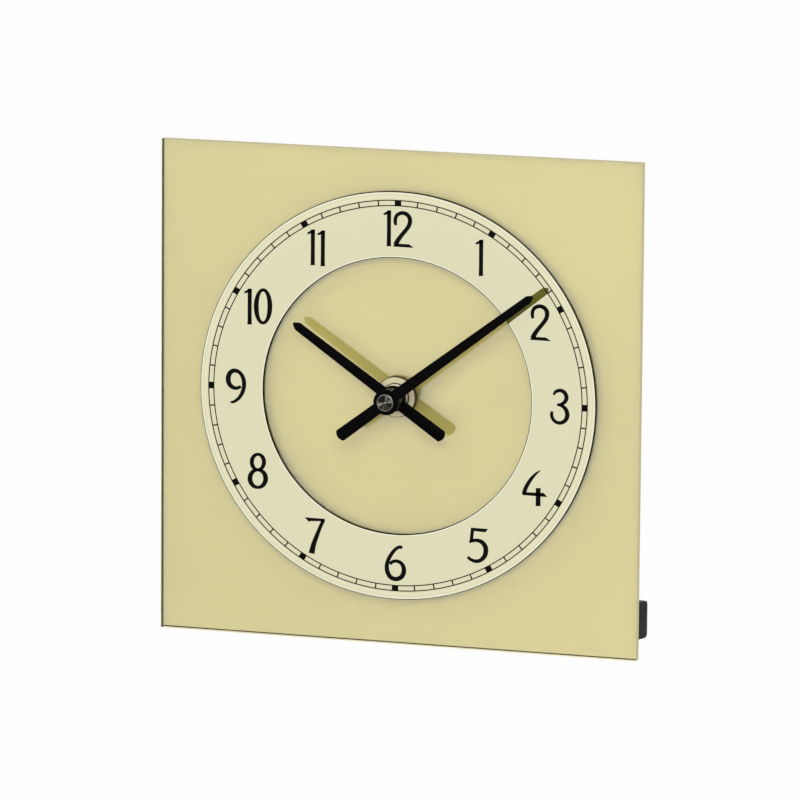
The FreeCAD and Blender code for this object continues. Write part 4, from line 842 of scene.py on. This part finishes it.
for name, plane, height in (("lugs_right", case_high.x, mark_high), ("lugs_left", case_low.x, -mark_high)):
    raised(name, [oblong(lug_y, axis_z + z, lug_half, lug_half_high) for z in (-lug_off, lug_off)], height,
           plane, "X")
knob_rim = lathe("knob_rim", [
    (rim_in, case_high.y + rim_high), (rim_out, case_high.y + rim_high),
    (rim_out + rim_spread, case_high.y - mark_deep), (rim_in - rim_spread, case_high.y - mark_deep)],
    moulded, (knob_x, knob_z), smooth=30)
finished(knob_rim, "plate", "black_plastic")


# Battery: one plain round cell, a bare black jacket with a copper band at its positive end, and steel ends.
band_x, plus_end, minus_end = 11 * MM, 23.9 * MM, -25.1 * MM
cell, tree, shader, output = new_material("battery_jacket")
surface = placed(tree, uneven, Blotch_Size=90.0, Grain_Size=2500.0, Low=0.24, High=0.34)
black_jacket = blended(tree, surface.outputs["Blotch"], (0.015, 0.015, 0.016), (0.025, 0.025, 0.026))
copper_band = blended(tree, surface.outputs["Blotch"], (0.42, 0.20, 0.09), (0.50, 0.25, 0.12))
steel_end = blended(tree, surface.outputs["Blotch"], (0.5, 0.5, 0.5), (0.62, 0.62, 0.61))
at_x, at_y, at_z, where = object_axes(tree)
bare = computed(tree, "MAXIMUM", computed(tree, "GREATER_THAN", at_x, plus_end),
                computed(tree, "LESS_THAN", at_x, minus_end))
jacket = blended(tree, computed(tree, "GREATER_THAN", at_x, band_x), black_jacket, copper_band)
dressed(tree, shader, blended(tree, bare, jacket, steel_end), surface, surface.outputs["Grain"], 2e-6,
        metallic=0.7)
finished(eased("battery", "round_cell", cell, 0.35 * MM, segments=3), "cell", "battery_jacket", "battery")


# Contacts and crystal: nickel-plated spring steel and a drawn metal can.
bright = finish_of("nickel_plate", (0.55, 0.54, 0.52), (0.68, 0.67, 0.65), 0.18, 0.3, metallic=1.0,
                   grain=5000.0, depth=2e-6)
finish_nodes(bright, "contact_plus", "contact_minus", "quartz_crystal")


# Wheels: moulded in white acetal, slightly waxy, with the arbors of the train in one piece with them.
acetal = finish_of("white_acetal", (0.70, 0.69, 0.65), (0.80, 0.79, 0.75), 0.32, 0.45, blotch=300.0,
                   grain=5000.0, depth=3e-6, wear_and_highlight=(0.62, 0.61, 0.56), wear_radius=0.0001)
finish_nodes(acetal, "gear_plate", "hour_wheel", "minute_wheel", "centre_wheel", "third_wheel",
             "seconds_wheel", "intermediate_wheel", "rotor_pinion", "coil_bobbin")


# Minute arbor: turned from brass, blackened in front of the glass like the bushes that it carries.
brass = turned_metal("turned_brass", (0.50, 0.36, 0.14), (0.66, 0.50, 0.22), 0.22, 0.34, 9000.0, 3e-6,
                     front=(plate_low.y, (0.004, 0.004, 0.004)))
finish_nodes(brass, "minute_arbor")


# Stepping motor: soft iron stator and core, a sintered magnet, and a coil of fine enamelled wire.
iron = finish_of("soft_iron", (0.36, 0.355, 0.35), (0.48, 0.475, 0.47), 0.35, 0.5, metallic=1.0,
                 grain=2600.0, depth=5e-6)
sinter = finish_of("sintered_magnet", (0.05, 0.05, 0.052), (0.10, 0.10, 0.105), 0.45, 0.6, metallic=0.6,
                   grain=3500.0, depth=1e-5)
wound, tree, shader, output = new_material("enamelled_wire")
turns_of_wire = linked(tree, "ShaderNodeTexWave", Vector=object_axes(tree)[-1], Scale=1500.0, Distortion=0.6,
                       Detail=1.0)
turns_of_wire.bands_direction = "X"
surface = placed(tree, uneven, Blotch_Size=400.0, Grain_Size=5000.0, Low=0.25, High=0.4)
colour = blended(tree, turns_of_wire.outputs["Fac"], (0.18, 0.06, 0.025), (0.55, 0.24, 0.11))
dressed(tree, shader, colour, surface, turns_of_wire.outputs["Fac"], 4e-5, metallic=0.8)
finish_nodes(iron, "stator", "coil_core")
finish_nodes(sinter, "rotor_magnet")
finish_nodes(wound, "coil_winding")


# Circuit board: brown paper laminate with a drop of black potting over its chip.
laminate = finish_of("paper_laminate", (0.20, 0.12, 0.05), (0.30, 0.19, 0.08), 0.4, 0.55, blotch=150.0,
                     grain=1800.0, depth=8e-6)
potting = finish_of("black_potting", (0.01, 0.01, 0.01), (0.02, 0.02, 0.02), 0.18, 0.3, grain=900.0,
                    depth=3e-5)
finish_nodes(laminate, "circuit_board")
finish_nodes(potting, "clock_chip")


low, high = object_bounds()
